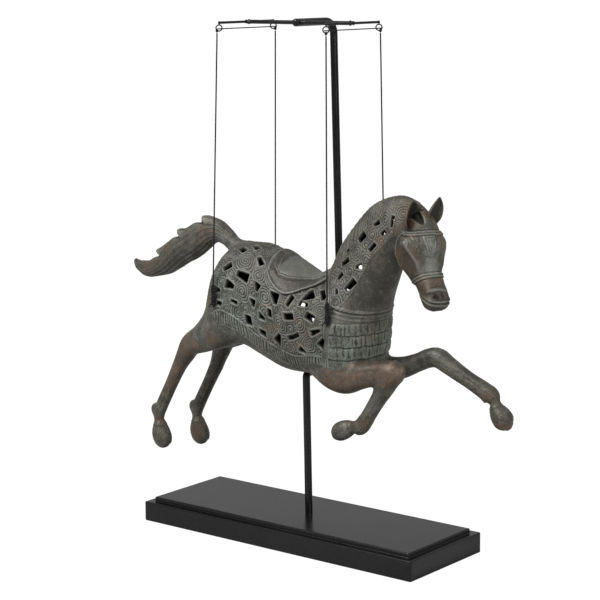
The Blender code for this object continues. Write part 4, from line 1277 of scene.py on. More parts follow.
def neck_relief(points, away):
    """Mane strokes on the crest, scrolls under it, a smooth throat, a collar and rows of flutes."""
    x, _, z = points.T
    crest, throat = above(CREST_LINE, x, z), above(THROAT_LINE, x, z)
    lines = np.cos(2 * math.pi * (crest * 0.2 + x * 0.44 - z * 0.17))
    lines += 0.5 * np.cos(2 * math.pi * (x * 0.52 - z * 0.11 + 0.4 * np.sin(z / 7)))
    mane = 0.26 * lines * eased(-0.5, 1.5, crest)
    scrolls = 0.42 * scroll_height(points[:, (0, 2)], away, NECK_HEARTS, 0.3) + 0.45
    lattice = eased(1, -0.5, crest) * eased(-0.5, 1, throat)
    border = 0.55 * bead(throat + 1, 1.2) + 0.4 * bead(crest, 1)
    height = (mane + scrolls * lattice + border) * eased(284, 290, z)
    band, run = above(COLLAR, x, z), around_chest(points)
    twist = 0.75 + 0.25 * np.cos(2 * math.pi * (run + band * 1.6) / 4.2)
    height += bead(band - 1.5, 2) * twist
    height += 0.4 * bead(band + 3.4, 1.1) + 0.55 * bead(band + 8.6, 1.5) - 0.5 * bell(band + 1.4, 0.9)
    for number, (top, bottom) in enumerate(zip(CHEST_ROWS[:-1], CHEST_ROWS[1:])):
        inside = eased(top + 0.6, top - 0.6, z) * eased(bottom - 0.6, bottom + 0.6, z)
        down = (top - z) / (top - bottom)
        jitter = np.sin(run / 3.7 + 2 * number) + 0.7 * np.sin(run / 1.9 + z / 6)
        jitter += 0.35 * np.sin(z / 2.1 + run)
        flute = bars(run + 1.7 * number + jitter, FLUTE, 0.72, 0.36)
        filled = np.sin(run / 2.7 + 1.3 * number) * np.cos(run / 6.1 + z / 5)
        flute = 1 - (1 - flute) * (0.62 + 0.38 * filled)
        swell = np.sqrt(np.clip(np.sin(math.pi * np.clip(down, 0, 1)), 0, 1))
        height += inside * (1.25 * flute * (0.4 + 0.6 * swell) + 0.5 * down)
        ragged = 0.6 * np.sin(run / 2.3 + number) + 0.5 * np.sin(run / 5.1)
        height -= (0.55 + 0.3 * np.sin(run / 4.3 + 3 * number)) * bell(z - bottom + ragged, 1)
        knobs = np.sin(run * 1.35 + 2 * np.sin(z / 2.2)) * np.sin(z * 1.1 + np.sin(run / 1.7))
        height += inside * 0.16 * knobs
    return height


def rib_relief(points):
    """The two upright beads where flank and chest meet, and the slim one along the neck's foot."""
    ahead = ahead_of_rib(points)
    low = eased(RIB_Z + 16, RIB_Z + 2, points[:, 2])
    return bead(ahead + 0.4, 1.5) * (0.55 + 0.45 * low) + 0.9 * bead(ahead - 3.2, 1.4) * low


def skin_relief(points, away):
    """Flank relief behind the rib, neck relief ahead of it, and the rib's beads between."""
    ahead = ahead_of_rib(points)
    share = eased(-1.4, 1.4, ahead - 1.4)
    flank, neck = flank_relief(points, away), neck_relief(points, away)
    near_rib = eased(5, 2.2, np.abs(ahead - 1.4))
    return (flank * (1 - share) + neck * share) * (1 - near_rib) + rib_relief(points)


print("rows of flutes on the chest:", len(CHEST_ROWS) - 1)

# %% [markdown]
# The body's skin is two halves, right and left, because each flank then has its own mesh of fine
# squares. A half is a grid: columns run along the body, evenly by the length of its side, and
# rows run from the top line down to the belly, close together where the scrolls are and wider
# below. The neck is made the same way. Inside, a coarser skin one wall's thickness in closes the
# metal, so that through an opening the far side's inner face shows. It is painted dark all over,
# as shade.

# %% Stations along a form and rows round it
FINE = 0.72  # grid spacing on the scrolls
LINER = 2.2


def even_places(form, spacing, low=0.0, high=1.0, turn=math.pi / 2):
    """Places along a form that are a spacing apart along its side."""
    dense = np.linspace(low, high, 400)
    gone = run_along(form.skin(dense, np.full(400, turn)))
    return np.interp(np.linspace(0, gone[-1], int(gone[-1] / spacing)), gone, dense)


def turns_at(form, place, shares):
    """Turns, from 0 to pi, at which a section has covered given shares of its half girth."""
    dense = np.linspace(0.0, math.pi, 121)
    gone = run_along(form.skin(np.full(121, place), dense))
    return np.interp(shares * gone[-1], gone, dense)


def half_grid(form, side, places, shares):
    """Grid of a form's right or left half: a row for each share of the half girth."""
    turns = np.stack([turns_at(form, place, shares) for place in places], axis=1)
    along = np.broadcast_to(places, turns.shape)
    return form.skin(along, side * turns)


def split_shares(parts):
    """Shares of a girth, each part given as (low, high, points in it)."""
    runs = [np.linspace(low, high, count, endpoint=False) for low, high, count in parts]
    return np.concatenate((*runs, [1.0]))


print("grid squares on the scrolls in mm:", FINE)

# %% Paint of body and neck
def spots(points, places):
    """Sum of soft round patches: (x, y, z, radius, strength) each, fading as a bell curve."""
    total = np.zeros(points.shape[:-1])
    for x, y, z, radius, strength in places:
        total += strength * bell(norm(points - (x, y, z), axis=-1), radius)
    return total


# Patches on the right of body and neck, mirrored on the left: x, y, z, radius, strength
BODY_RUBS = (
    (-112, -44, 290, 15, 0.75), (-100, -48, 276, 9, 0.5), (-12, -50, 262, 17, 0.3),
    (40, -48, 268, 14, 0.35), (46, -48, 292, 10, 0.4), (146, -16, 376, 14, 0.4),
    (112, -36, 330, 22, 0.2), (100, -40, 300, 16, 0.2), (138, -20, 350, 13, 0.35),
    (-70, -40, 232, 20, 0.25), (150, -12, 412, 10, 0.6),
)
BODY_GREENS = (
    (88, -42, 238, 16, 0.9), (104, -10, 240, 18, 0.8), (80, -46, 262, 18, 0.6),
    (-60, -52, 270, 26, 0.85), (-95, -52, 300, 26, 0.6), (-20, -52, 300, 24, 0.5),
    (60, -46, 226, 16, 0.7), (-34, -52, 262, 20, 0.45), (-104, -46, 262, 16, 0.4),
)
# Painted shade, mostly low on the body where the belly meets the legs and chest
BODY_SHADES = (
    (-84, -36, 226, 15, 1), (-64, -38, 226, 13, 1), (88, -44, 218, 14, 0.7),
    (70, -40, 206, 14, 0.6), (-118, -40, 236, 14, 0.5), (-60, -30, 206, 14, 0.4),
    (30, -30, 200, 20, 0.4), (128, -30, 322, 16, 0.4),
)


def skin_paint(points):
    """Where body and neck are rubbed brown, where verdigris sits, and where shade is painted dark:
    under the throat and in the shaded patches.
    """
    mirrored = points * np.where(points[:, 1:2] > 0, (1.0, -1.0, 1.0), 1.0)
    x, _, z = points.T
    throat = eased(1.0, -3.0, above(THROAT_LINE, x, z)) * eased(286, 294, z)
    dark = 0.75 * throat * eased(84, 92, x) + spots(mirrored, BODY_SHADES)
    return {"rub": spots(mirrored, BODY_RUBS), "green": spots(mirrored, BODY_GREENS), "dark": dark}


# %% Half skins and their liners
def half_skin(name, form, side, places, shares, spacing):
    """One half of a pierced skin with relief and rims, and its four numbers at every point."""
    points = half_grid(form, side, places, shares)
    points, buried = settled(points, skin_normals(points), form.name)
    normals = skin_normals(points)
    points, away, slope = cut_openings(points, normals, spacing)
    flat, lift, buried = points.reshape(-1, 3), normals.reshape(-1, 3), buried.ravel()
    height = skin_relief(flat, away) * eased(0.0, -3.0, buried)
    edge = np.exp(-np.maximum(away, 0) / 0.8)
    raised = flat + lift * (height * (1 - 0.6 * edge))[:, None]
    faces = grid_faces(*points.shape[:2])
    faces = faces[(buried[faces] < SINK).any(1)]
    quads, triangles = facing(raised, *faces_outside(faces, away), lift)
    edges = open_edges(quads, triangles, len(flat))
    edges = edges[(np.abs(away[edges]) < 1.3 * spacing).all(1) & (buried[edges] < 0).all(1)]
    wall, wall_quads, source = rim_walls(raised, lift, slope, edges)
    relief = contrast(height.reshape(points.shape[:2]), 16, 0.42).ravel()
    numbers = {"relief": relief, **skin_paint(flat)}
    numbers = {key: np.concatenate((values, values[source])) for key, values in numbers.items()}
    depth = np.repeat([step[0] for step in RIM_STEPS], len(source) // len(RIM_STEPS))
    # Painted shade on the rim walls: their relief is set lower the deeper they go
    numbers["relief"][len(flat):] = -0.3 * np.minimum(depth, 3.0)
    quads = np.vstack((quads, wall_quads))
    make_piece(name, np.vstack((raised, wall)), quads, triangles, patina, "horse", numbers)
    print(name, "has", 2 * len(quads) + len(triangles), "triangles")


def half_liner(name, form, side, places, shares, other):
    """The inner face of one half, a wall in from the skin, cut at the openings and facing in."""
    points = half_grid(form, side, places, shares)
    normals = skin_normals(points)
    points, away, _ = cut_openings(points, normals, LINER)
    flat, lift = points.reshape(-1, 3), normals.reshape(-1, 3)
    inner = flat - lift * WALL
    inner[:, 1] = side * np.maximum(side * inner[:, 1], 0.0)
    faces = grid_faces(*points.shape[:2])
    faces = faces[~(FORMS[other].distance(inner) < -WALL - 2)[faces].all(1)]
    quads, triangles = facing(inner, *faces_outside(faces, away), -lift)
    # Painted shade: the inner face is dark all over, as relief at its lowest and dark at its highest
    dark = np.full(len(flat), -1.0)
    numbers = {"relief": dark, "rub": dark * 0, "green": dark * 0, "dark": -dark}
    make_piece(name, inner, quads, triangles, patina, "horse", numbers)


# %% Body and neck
body, neck = FORMS["body"], FORMS["neck"]
body_shares = split_shares(((0.0, 0.04, 4), (0.04, 0.74, 158), (0.74, 0.86, 20), (0.86, 1.0, 12)))
body_places = even_places(body, FINE)
neck_shares = split_shares(((0.0, 0.34, 34), (0.34, 1.0, 110)))
neck_places = even_places(neck, 0.85, turn=0.55 * math.pi)
for side, sign in (("right", -1.0), ("left", 1.0)):
    half_skin(f"flank_{side}", body, sign, body_places, body_shares, FINE)
    half_skin(f"neck_{side}", neck, sign, neck_places, neck_shares, 0.85)
    inner = even_places(body, LINER, 0.1, 0.93)
    half_liner(f"flank_liner_{side}", body, sign, inner, np.linspace(0, 1, 64), "neck")
    inner = even_places(neck, LINER, 0.12, 0.85)
    half_liner(f"neck_liner_{side}", neck, sign, inner, np.linspace(0, 1, 50), "body")

# %% [markdown]
# Limbs, tail and head are closed round, so their grids are rings: rows go along the form and
# columns all the way round. Each has its own relief, given as a function of the place along it,
# the turn round it and the point itself: tendons and the tuft at the fetlock, the line where hair
# meets hoof, hair and locks in the tail. A root that is buried in the body is left out.

# %% Ring skins
def with_ends(numbers):
    """Numbers of a grid's points as flat arrays, with the means of both end rings added."""
    return {key: np.concatenate((v.ravel(), [v[0].mean(), v[-1].mean()])) for key, v in numbers.items()}


def ring_skin(name, form, spacing, columns, relief, paint):
    """A closed skin round a form, blended, with relief along its normals and painted numbers."""
    places = even_places(form, spacing, turn=0.25 * math.pi)
    turns = np.arange(columns) * 2 * math.pi / columns
    place, turn = np.meshgrid(places, turns, indexing="ij")
    points = form.skin(place, turn)
    points, buried = settled(points, skin_normals(points, ring=True), form.name)
    normals = skin_normals(points, ring=True)
    height = relief(points, place, turn) * eased(0, -2, buried)
    points = points + normals * height[..., None]
    flat, quads, ends = capped(points)
    deep = np.concatenate((buried.ravel(), [buried[0].min(), buried[-1].min()]))
    quads = quads[(deep[quads] < SINK).any(1)]
    ends = ends[(deep[ends] < SINK).any(1)]
    quads, ends = facing(flat, quads, ends, normals.reshape(-1, 3))
    numbers = {"relief": contrast(height, 16, 0.42, ring=True), **paint(points, place, turn)}
    # A paint may lower relief further to paint shade, or raise it to paint a highlight
    numbers["relief"] = numbers["relief"] - numbers.pop("ear_shade_face_highlight", 0.0)
    make_piece(name, flat, quads, ends, patina, "horse", with_ends(numbers))
    print(name, "has", 2 * len(quads) + len(ends), "triangles")


def length_at(form, place):
    """Distance in millimetres along a form's middle at each place."""
    dense = np.linspace(0, 1, len(form.half))
    return np.interp(place, dense, run_along(form.middle))


# %% Legs
# Rows of each leg's table at the hoof's upper line and at the fetlock (99: none), and warm patches
# on it: x, y, z, radius, strength
LEGS = {
    "right_hind": (11.9, 9.0, (
        (-163, -40, 212, 22, 1), (-150, -40, 222, 14, 0.6), (-185, -36, 172, 20, 0.8),
        (-212, -32, 118, 10, 0.7), (-105, -45, 236, 16, 0.5),
    )),
    "left_hind": (11.9, 9.0, (
        (-186, 22, 108, 12, 0.9), (-196, 20, 96, 14, 0.8), (-180, 22, 150, 18, 0.3),
    )),
    "right_forearm": (99, 99, (
        (70, -44, 200, 19, 0.9), (88, -42, 196, 22, 0.8), (110, -40, 212, 22, 0.9),
        (146, -38, 224, 20, 1),
    )),
    "right_cannon": (7.2, 5.2, ((142, -36, 214, 14, 0.8), (108, -36, 160, 13, 0.7))),
    "left_foreleg": (11.6, 9.7, (
        (240, 26, 196, 11, 1), (252, 20, 170, 10, 0.6), (262, 20, 166, 9, 0.7),
        (160, 20, 236, 12, 0.3),
    )),
}


def leg_relief(name):
    """Relief of a leg: tendons, strokes of hair at the fetlock, and the hoof's upper line."""
    hoof_row, fetlock_row, _ = LEGS[name]
    last = len(LIMBS[name][0]) - 1
    form = FORMS[name]

    def relief(points, place, turn):
        run = length_at(form, place)
        hoof = run - length_at(form, hoof_row / last)
        fetlock = run - length_at(form, fetlock_row / last)
        height = 0.2 * bead(hoof, 1.3) - 0.3 * bead(hoof - 1.8, 1)
        height += 0.22 * np.cos(turn * 17 + run * 0.25) * bell(fetlock, 9) * (hoof < 0)
        tendon = bell(np.cos(turn) + 0.35, 0.22)
        height -= 0.55 * tendon * eased(-75, -45, hoof) * eased(-18, -28, hoof)
        height += 0.1 * np.cos(turn * 2 + run * 0.11) * eased(0, -20, hoof)
        return height + 0.1 * eased(1.5, 6, hoof) * np.cos(hoof * 1.9)

    return relief


# Painted shade on the legs, as dark patches: x, y, z, radius, strength
LEG_SHADE = (
    (-158, -40, 200, 12, 0.7), (-172, -38, 214, 9, 0.6), (-88, -34, 222, 15, 1),
    (-70, -36, 224, 14, 1), (-142, 22, 222, 30, 0.9), (-160, 20, 180, 24, 0.8),
    (-178, 20, 140, 16, 0.5), (-100, -30, 200, 16, 0.8), (-222, -38, 100, 12, 0.5),
    (-170, -30, 200, 8, 0.6), (150, 20, 222, 26, 0.4), (120, -26, 194, 14, 0.6),
    (75, -40, 192, 16, 0.5), (130, -34, 205, 10, 0.5), (72, -36, 142, 12, 0.4),
    (215, 20, 200, 20, 0.3),
)


def leg_paint(name):
    """Paint of a leg: warm patches, some verdigris, painted shade in dark patches, and one side darker.
    """

    def paint(points, place, turn):
        dark = spots(points, LEG_SHADE) + 0.3 * eased(0, -1, np.cos(turn))
        # Painted shade over the far hind leg, above its fetlock
        if name == "left_hind":
            dark = dark + 0.75 * eased(112, 140, points[..., 2])
        green = spots(points, ((-120, -46, 250, 30, 0.3), (165, 24, 236, 14, 0.4)))
        return {"rub": spots(points, LEGS[name][2]), "green": green, "dark": dark}

    return paint


for name in LEGS:
    ring_skin(name, FORMS[name], 1.05, 60, leg_relief(name), leg_paint(name))

# %% Tail
# Points of the three locks that step out of the tail's upper edge: x, z, and the lock's height
TAIL_STEPS = ((-159.5, 374.0, 6.5), (-197.0, 353.0, 7.0), (-232.0, 327.0, 7.5))
STEP_FALL = 3.2  # along the tail, from a lock's point down to the next lock


def tail_steps(run):
    """Height of the locks: each swells as a power of its share, then falls to the next one."""
    form = FORMS["tail"]
    dense = np.linspace(0, 1, len(form.half))
    height, before = np.zeros_like(run), 22
    for x, z, size in TAIL_STEPS:
        at = length_at(form, dense[np.hypot(*(form.middle - (x, z)).T).argmin()])
        share = np.clip((run - before) / (at - before), 0, 1)
        before = at + STEP_FALL
        rise = size * share**3.6 * eased(before, at, run)
        height += rise - 0.4 * size * bell(run - at - STEP_FALL, 5)
    return height


def tail_relief(points, place, turn):
    """Strands of hair that run along the tail and drift round it, and the locks on its edge."""
    run = length_at(FORMS["tail"], place)
    drift = 0.012 * run + 0.3 * np.sin(run / 31)
    fade = eased(16, 40, run)
    broad = np.cos(6 * (turn + drift) + 0.6 * np.sin(run / 17))
    middle = np.cos(17 * (turn + drift * 0.8) + 1.1 * np.sin(run / 23))
    fine = np.cos(38 * (turn + drift) + 2 * np.sin(run / 15))
    under = 1 + 0.9 * eased(-0.2, -0.8, np.cos(turn))
    strands = fade * (0.22 * broad * under + 0.2 * middle * under + 0.2 * fine)
    upper = np.cos(turn - 0.12)
    return strands + tail_steps(run + 14 * (1 - upper)) * eased(0.4, 0.95, upper)


def tail_paint(points, place, turn):
    warm = ((-143, -12, 350, 13, 0.6), (-244, -8, 299, 14, 0.42), (-205, -12, 318, 16, 0.25))
    # Painted shade: dark patches along the tail's lower edge, and its underside darker
    shade = ((-190, -12, 312, 22, 0.8), (-165, -12, 324, 18, 0.8), (-225, -8, 296, 14, 0.5))
    green = spots(points, ((-110, -8, 342, 18, 0.2),))
    under = 0.8 * eased(-0.1, -0.75, np.cos(turn)) * eased(-110, -130, points[..., 0])
    rub = spots(points, warm) + 0.16 * eased(-105, -130, points[..., 0])
    return {"rub": rub, "green": green, "dark": spots(points, shade) + under}


ring_skin("tail", FORMS["tail"], 1.15, 176, tail_relief, tail_paint)

# %% [markdown]
# The head is worked in its own frame: reach is forward of the poll, side is across, and z is
# height. On the skin of the plain form every feature is a small lift or dent that depends on
# where a point lies in that frame: a swelling with the eye in it, straps that follow a line, the
# ornament on the forehead, nostrils and the mouth.

# %% Lines and marks of the head, in its own frame
FACE_MIDDLE = -3.0
EYE = (25.5, 24.0, 369.5)  # reach, distance from the face's middle, z
BROWBAND_Z = 382.4
STRAP = ((20, 381), (8, 375), (0, 367), (-4, 357), (-2.5, 347), (4, 337.5), (12, 331), (22, 325.5))
NOSEBAND = ((53, 338), (34, 329.5), (22, 324))
MOUTH = ((38, 315), (51, 311), (60, 308.2), (68, 306.4))
FACE_RIDGE = ((27, 371), (34, 362), (40, 350), (43, 338))
ORNAMENT_TOP = 379.0
ORNAMENT_TIP = 356.5
ORNAMENT_HALF = 8.6
NOSTRIL = (62.5, 5.2, 316.0)


def from_line(line, first, second):
    """Distance of points (first, second) from a broken line, and the share of it run."""
    line = np.array(line, float)
    begun = run_along(line)
    places = np.stack((first, second), -1)
    best, run = np.full(first.shape, 1e3), np.zeros(first.shape)
    for k, (start, end) in enumerate(zip(line[:-1], line[1:])):
        edge = end - start
        share = np.clip(((places - start) * edge).sum(-1) / (edge**2).sum(), 0, 1)
        gap = norm(places - start - share[..., None] * edge, axis=-1)
        run = np.where(gap < best, begun[k] + share * (begun[k + 1] - begun[k]), run)
        best = np.minimum(best, gap)
    return best, run / begun[-1]


def double_bead(gap, apart, half):
    """Two rounded cords side by side, and the groove on each side of them."""
    pair = bead(gap - apart, half) + bead(gap + apart, half)
    return pair - 0.35 * bell(np.abs(gap) - apart - half - 0.6, 0.7)


def signed_line(line, first, second):
    """Distance from a broken line that is negative on one side, for cords laid side by side."""
    start, end = line[0], line[-1]
    side = (end[0] - start[0]) * (second - start[1]) - (end[1] - start[1]) * (first - start[0])
    return from_line(line, first, second)[0] * np.sign(side)


# %% Relief of the head
def face_place(points):
    """Reach, distance across from the face's middle, its size without sign, and z."""
    reach, side, z = np.moveaxis(head_frame(points), -1, 0)
    side = side - FACE_MIDDLE
    return reach, side, np.abs(side), z


def head_relief(points, place, turn):
    reach, side, wide, z = face_place(points)
    eye_gap = np.hypot((reach - EYE[0]) * 0.85, z - EYE[2])
    on_cheek = eased(9, 13, wide)
    height = 3.6 * bell(eye_gap, 10.5) * on_cheek
    height += 0.5 * bell(np.hypot((reach - EYE[0]) * 0.6, (z - EYE[2]) * 1.3), 4.5) * on_cheek
    height += 0.45 * bell(eye_gap - 5.2, 0.9) * on_cheek * eased(-3, 1, z - EYE[2] + 1)
    height -= 0.4 * bell(eye_gap - 3.6, 0.8) * on_cheek
    arch = np.hypot((reach - EYE[0]) * 0.8, z - EYE[2]) - 9.5
    height += 0.9 * bell(arch, 1.6) * on_cheek * eased(0, 5, z - EYE[2])
    band = z - (BROWBAND_Z - 0.007 * side**2)
    height += 1.05 * double_bead(band, 1.25, 1.15) * eased(8, 14, reach)
    strap, _ = from_line(STRAP, reach, z)
    beside = eased(3, 6, wide) * (reach < 30)
    height += (1.35 * bead(strap, 1.6) - 0.45 * bell(strap - 2.5, 0.9)) * beside
    nose = signed_line(NOSEBAND, reach, z)
    height += 1.1 * double_bead(nose, 1.55, 1.35) * eased(20, 24, reach)
    ridge, along = from_line(FACE_RIDGE, reach, z)
    height += 1.7 * bell(ridge, 3) * on_cheek * eased(1, 0.75, along)
    height -= 1.5 * bell(np.hypot(reach - 27, (z - 349) * 0.62), 8.5) * on_cheek
    height += ornament_relief(side, z)
    off_middle = np.abs(wide - NOSTRIL[1])
    hole = bell(np.hypot(off_middle * 1.1, z - NOSTRIL[2] + 0.5 * (wide - NOSTRIL[1])), 2.7)
    fore = eased(50, 56, reach)
    height += 0.6 * bell(np.hypot(off_middle, z - NOSTRIL[2] - 2), 5) * fore
    fold = z - 322.5 + 0.03 * side**2
    height += 1.3 * bead(fold, 2) * fore * eased(13, 9, wide)
    height -= 2.3 * bell(np.hypot(side / 8.5, (z - 315.5) / 4.6), 1) * fore
    height -= 2 * hole * fore
    dent = np.hypot((side + 2.2) / 4.2, (z - 314.6 + 0.25 * side) / 3)
    height -= 2.6 * bell(dent, 1) * fore
    mouth, _ = from_line(MOUTH, reach, z)
    height -= 1.3 * bell(mouth, 0.9)
    height += 0.7 * bell(mouth - 2.2, 1.4) * eased(36, 42, reach)
    height += bell(np.hypot(reach - 56, z - 300.5), 4.5)
    height -= 0.8 * bell(np.hypot(reach - 10, z - 362), 7) * on_cheek
    cheek = np.hypot(reach - 4, z - 354) - 12.5
    height += 0.5 * bell(cheek, 1.8) * on_cheek * eased(362, 350, z)
    return height - 4.5 * ear_pit(reach, side, z)


def ear_pit(reach, side, z):
    """The deep hollow that the right ear stands round: 1 inside an oval, 0 outside."""
    gap = np.hypot((side + 4.9 + 0.1 * (z - 400)) / 6.2, (z - 403) / 11.5)
    return eased(1.15, 0.75, gap) * eased(4, 10, reach)


def ornament_relief(side, z):
    """A leaf-shaped plate with a double engraved border and a small leaf inside it."""
    down = np.clip((z - ORNAMENT_TIP) / (ORNAMENT_TOP - ORNAMENT_TIP), 0, 1)
    half = ORNAMENT_HALF * down**0.5 * (1 - 0.22 * down**3)
    inside = np.where(z > ORNAMENT_TIP, np.minimum(half - np.abs(side), ORNAMENT_TOP - z), -5)
    plate = 0.75 * eased(-0.8, 0.4, inside)
    lines = 0.55 * bead(inside - 0.9, 0.9) + 0.45 * bead(inside - 3.2, 0.8)
    lines = lines - 0.3 * bead(inside - 2, 0.6)
    core = np.hypot(side / 2.6, (z - 371.5) / 4.6)
    leaf = 0.5 * bead(core, 1) * (inside > 3.6)
    return plate + lines * (inside > -0.2) + leaf


# %% Paint of the head
def head_paint(points, place, turn):
    reach, side, wide, z = face_place(points)
    ridge, _ = from_line(FACE_RIDGE, reach, z)
    beside = eased(5, 10, wide)
    cheek = bell(np.hypot(reach - 26, (z - 348) * 0.7), 14) * beside
    warm = 0.3 + 0.3 * bell(ridge, 4.5) * beside + 0.85 * cheek
    warm += 0.6 * bell(np.hypot(reach, z - 350), 14) + 0.8 * bell(z - 324, 9) * eased(30, 50, reach)
    warm += 0.35 * bell(np.hypot(reach - 18, z - 392), 12)
    # Painted shade: dark on the cheek, which faces away from the light, and in the nostrils; it also
    # grows towards the bottom and the back of the head
    dark = 1.3 * cheek + 0.8 * eased(332, 320, z) + 0.6 * eased(316, 304, z)
    dark += 0.5 * eased(2, -6, reach)
    dark += 0.8 * bell(np.hypot(side / 8, (z - 316) / 4.5), 1) * eased(50, 56, reach)
    # Painted highlight: pale on the face's front plane and along the facial ridge, and a pale line
    # along the cheek strap
    pale = 1.1 * bell(side, 11) * eased(330, 341, z) * eased(388, 378, z)
    pale = pale * eased(28, 36, reach) + 0.9 * bell(ridge, 3.2) * eased(5, 9, wide)
    strap, _ = from_line(STRAP, reach, z)
    pale += 0.6 * bell(strap, 1.5) * eased(3, 6, wide) * (reach < 30)
    # Green here is a little of the painted highlight. The last number lowers relief in the ear's
    # hollow, as painted shade, and raises it on the face's front, as painted highlight.
    return {
        "rub": np.clip(warm - 0.38 * pale, 0, 1),
        "green": np.clip(pale * 0.2, 0, 1),
        "dark": np.clip(dark, 0, 1),
        "ear_shade_face_highlight": 1.6 * ear_pit(reach, side, z) - 0.5 * np.clip(pale, 0, 1),
    }


ring_skin("head", FORMS["head"], 0.62, 220, head_relief, head_paint)

# %% Ears
# Side, turn outward, reach and z of the root, reach and z of the tip, lean outward, breadth
EARS = (
    ("right", -1, -26.0, 18.0, 385.0, 21.5, 416.0, 0.0, 1.75),
    ("left", 1, 12.0, 20.0, 388.0, 33.0, 419.5, 4.5, 1.05),
)
# Ear sections from root to tip: share of the height, half width, depth of the hollow's back
EAR_SECTIONS = (
    (0, 7, 7), (0.2, 10, 8.5), (0.45, 10, 7.5),
    (0.7, 7.5, 5.5), (0.9, 3.6, 3), (1, 1, 1.4),
)
EAR_WALL = 2.2
EAR_APART = 11.5
EAR_BACK = 30  # points of each ring that are on the ear's back


def ear_surface(side, turn, root_reach, root_z, tip_reach, tip_z, lean, breadth):
    """Rings of an ear: half a round behind, and the same a wall smaller in front, as a hollow."""
    angle = math.radians(side * turn)
    share, half, depth = through(EAR_SECTIONS, 56).T[:, :, None]
    half, depth = half * breadth, depth * math.sqrt(breadth)
    reach = root_reach + (tip_reach - root_reach) * share
    back = np.linspace(-1, 1, EAR_BACK)[None] * math.pi / 2
    front = back[:, ::-1][:, 1:-1]
    hollow = np.maximum(depth - EAR_WALL, 0.1)
    inner = np.maximum(half - EAR_WALL, 0.3)
    wide = np.concatenate((half * np.sin(back), inner * np.sin(front)), 1)
    deep = np.concatenate((-depth * np.cos(back), -hollow * np.cos(front)), 1) + depth / 2
    forward = reach + deep * math.cos(angle) - wide * math.sin(angle)
    across = side * (EAR_APART + lean * share) + deep * math.sin(angle) + wide * math.cos(angle)
    height = root_z + (tip_z - root_z) * share + 0 * wide
    return turned_head(np.stack((forward, across, height), -1)), wide / half


for name, *row in EARS:
    rings, wide = ear_surface(*row)
    in_front = np.arange(rings.shape[1])[None] >= EAR_BACK
    hair = 0.12 * np.cos(wide * 14) * in_front
    points, quads, ends = capped(rings + skin_normals(rings, ring=True) * hair[..., None])
    # Painted shade in the ear's hollow: its relief number is set low there
    hollow = in_front * eased(0.8, 0.55, np.abs(wide))
    hollow = hollow * eased(1, 0.7, np.linspace(0, 1, len(rings))[:, None])
    if name == "right":
        hollow = hollow * eased(-0.35, 0, wide)
    warm = np.where(hollow > 0, 0.2, 0.75) + 0 * wide
    numbers = with_ends({"relief": 0.1 - 1.3 * hollow, "rub": warm, "green": 0 * wide})
    make_piece(f"ear_{name}", points, *facing(points, quads, ends), patina, "horse", numbers)
print("ears made:", len(EARS))

# %% [markdown]
# The saddle is a sheet of metal cast onto the back: a smooth seat that rises to an arched pommel
# in front and a rolled edge behind, with two lobes that hang down the flanks. It is one grid over
# the body's skin. Each point stands off the body by a lift that is greatest on the top line, and
# its border is rolled into a bead.

# %% Saddle
# x, girth distance from the top line to its edge, rise on the top line
SADDLE = (
    (-36, 18, 2.5), (-33, 31, 5), (-27, 42, 6),
    (-15, 50, 4.5), (-3, 51.5, 3.5), (8, 46, 4.5),
    (22, 33, 6.5), (33, 25, 11.5), (40, 19, 13.5),
    (45, 14, 9),
)
SADDLE_EDGE = 2.2
SADDLE_RIDGE = 15.0
SADDLE_UNDER = -1.8


def on_body(x, drop, out):
    """Points of the body's skin at arrays of x and girth distance, moved out along its normal.

    Girth distance is positive on the left side and negative on the right."""
    place = np.interp(x, BODY_X, GIRTH_PLACES)
    row = place * (len(GIRTH_PLACES) - 1)
    i = np.minimum(row.astype(int), len(GIRTH_PLACES) - 2)
    table = GIRTH[i] + (GIRTH[i + 1] - GIRTH[i]) * (row - i)[..., None]
    flat, want = table.reshape(-1, table.shape[-1]), np.abs(drop).ravel()
    after = np.clip((flat < want[:, None]).sum(1), 1, flat.shape[1] - 1)
    pick = np.arange(len(flat))
    low, high = flat[pick, after - 1], flat[pick, after]
    share = (want - low) / np.maximum(high - low, 1e-9)
    turn = (after - 1 + share).reshape(drop.shape) * math.pi / (len(GIRTH_TURNS) - 1)
    turn = turn * np.where(drop < 0, -1, 1)
    here = FORMS["body"].skin(place, turn)
    step = 0.02
    along = FORMS["body"].skin(place, turn + step) - FORMS["body"].skin(place, turn - step)
    normal = np.stack((np.zeros_like(drop), -along[..., 2], along[..., 1]), -1)
    normal /= norm(normal, axis=-1, keepdims=True)
    return here + normal * np.asarray(out)[..., None]


def saddle_lift(x, edge, rise, drop):
    """Height of the saddle over the body: a ridge on the top line, a rolled border, a seat line."""
    lift = SADDLE_EDGE + (rise - SADDLE_EDGE) * bell(drop, SADDLE_RIDGE)
    border = np.abs(drop) - (edge - 2)
    lift += 0.9 * bead(border, 1.9) * eased(-34, -30, x)
    return lift - 0.35 * bell(np.abs(drop) - edge + 5, 0.9)


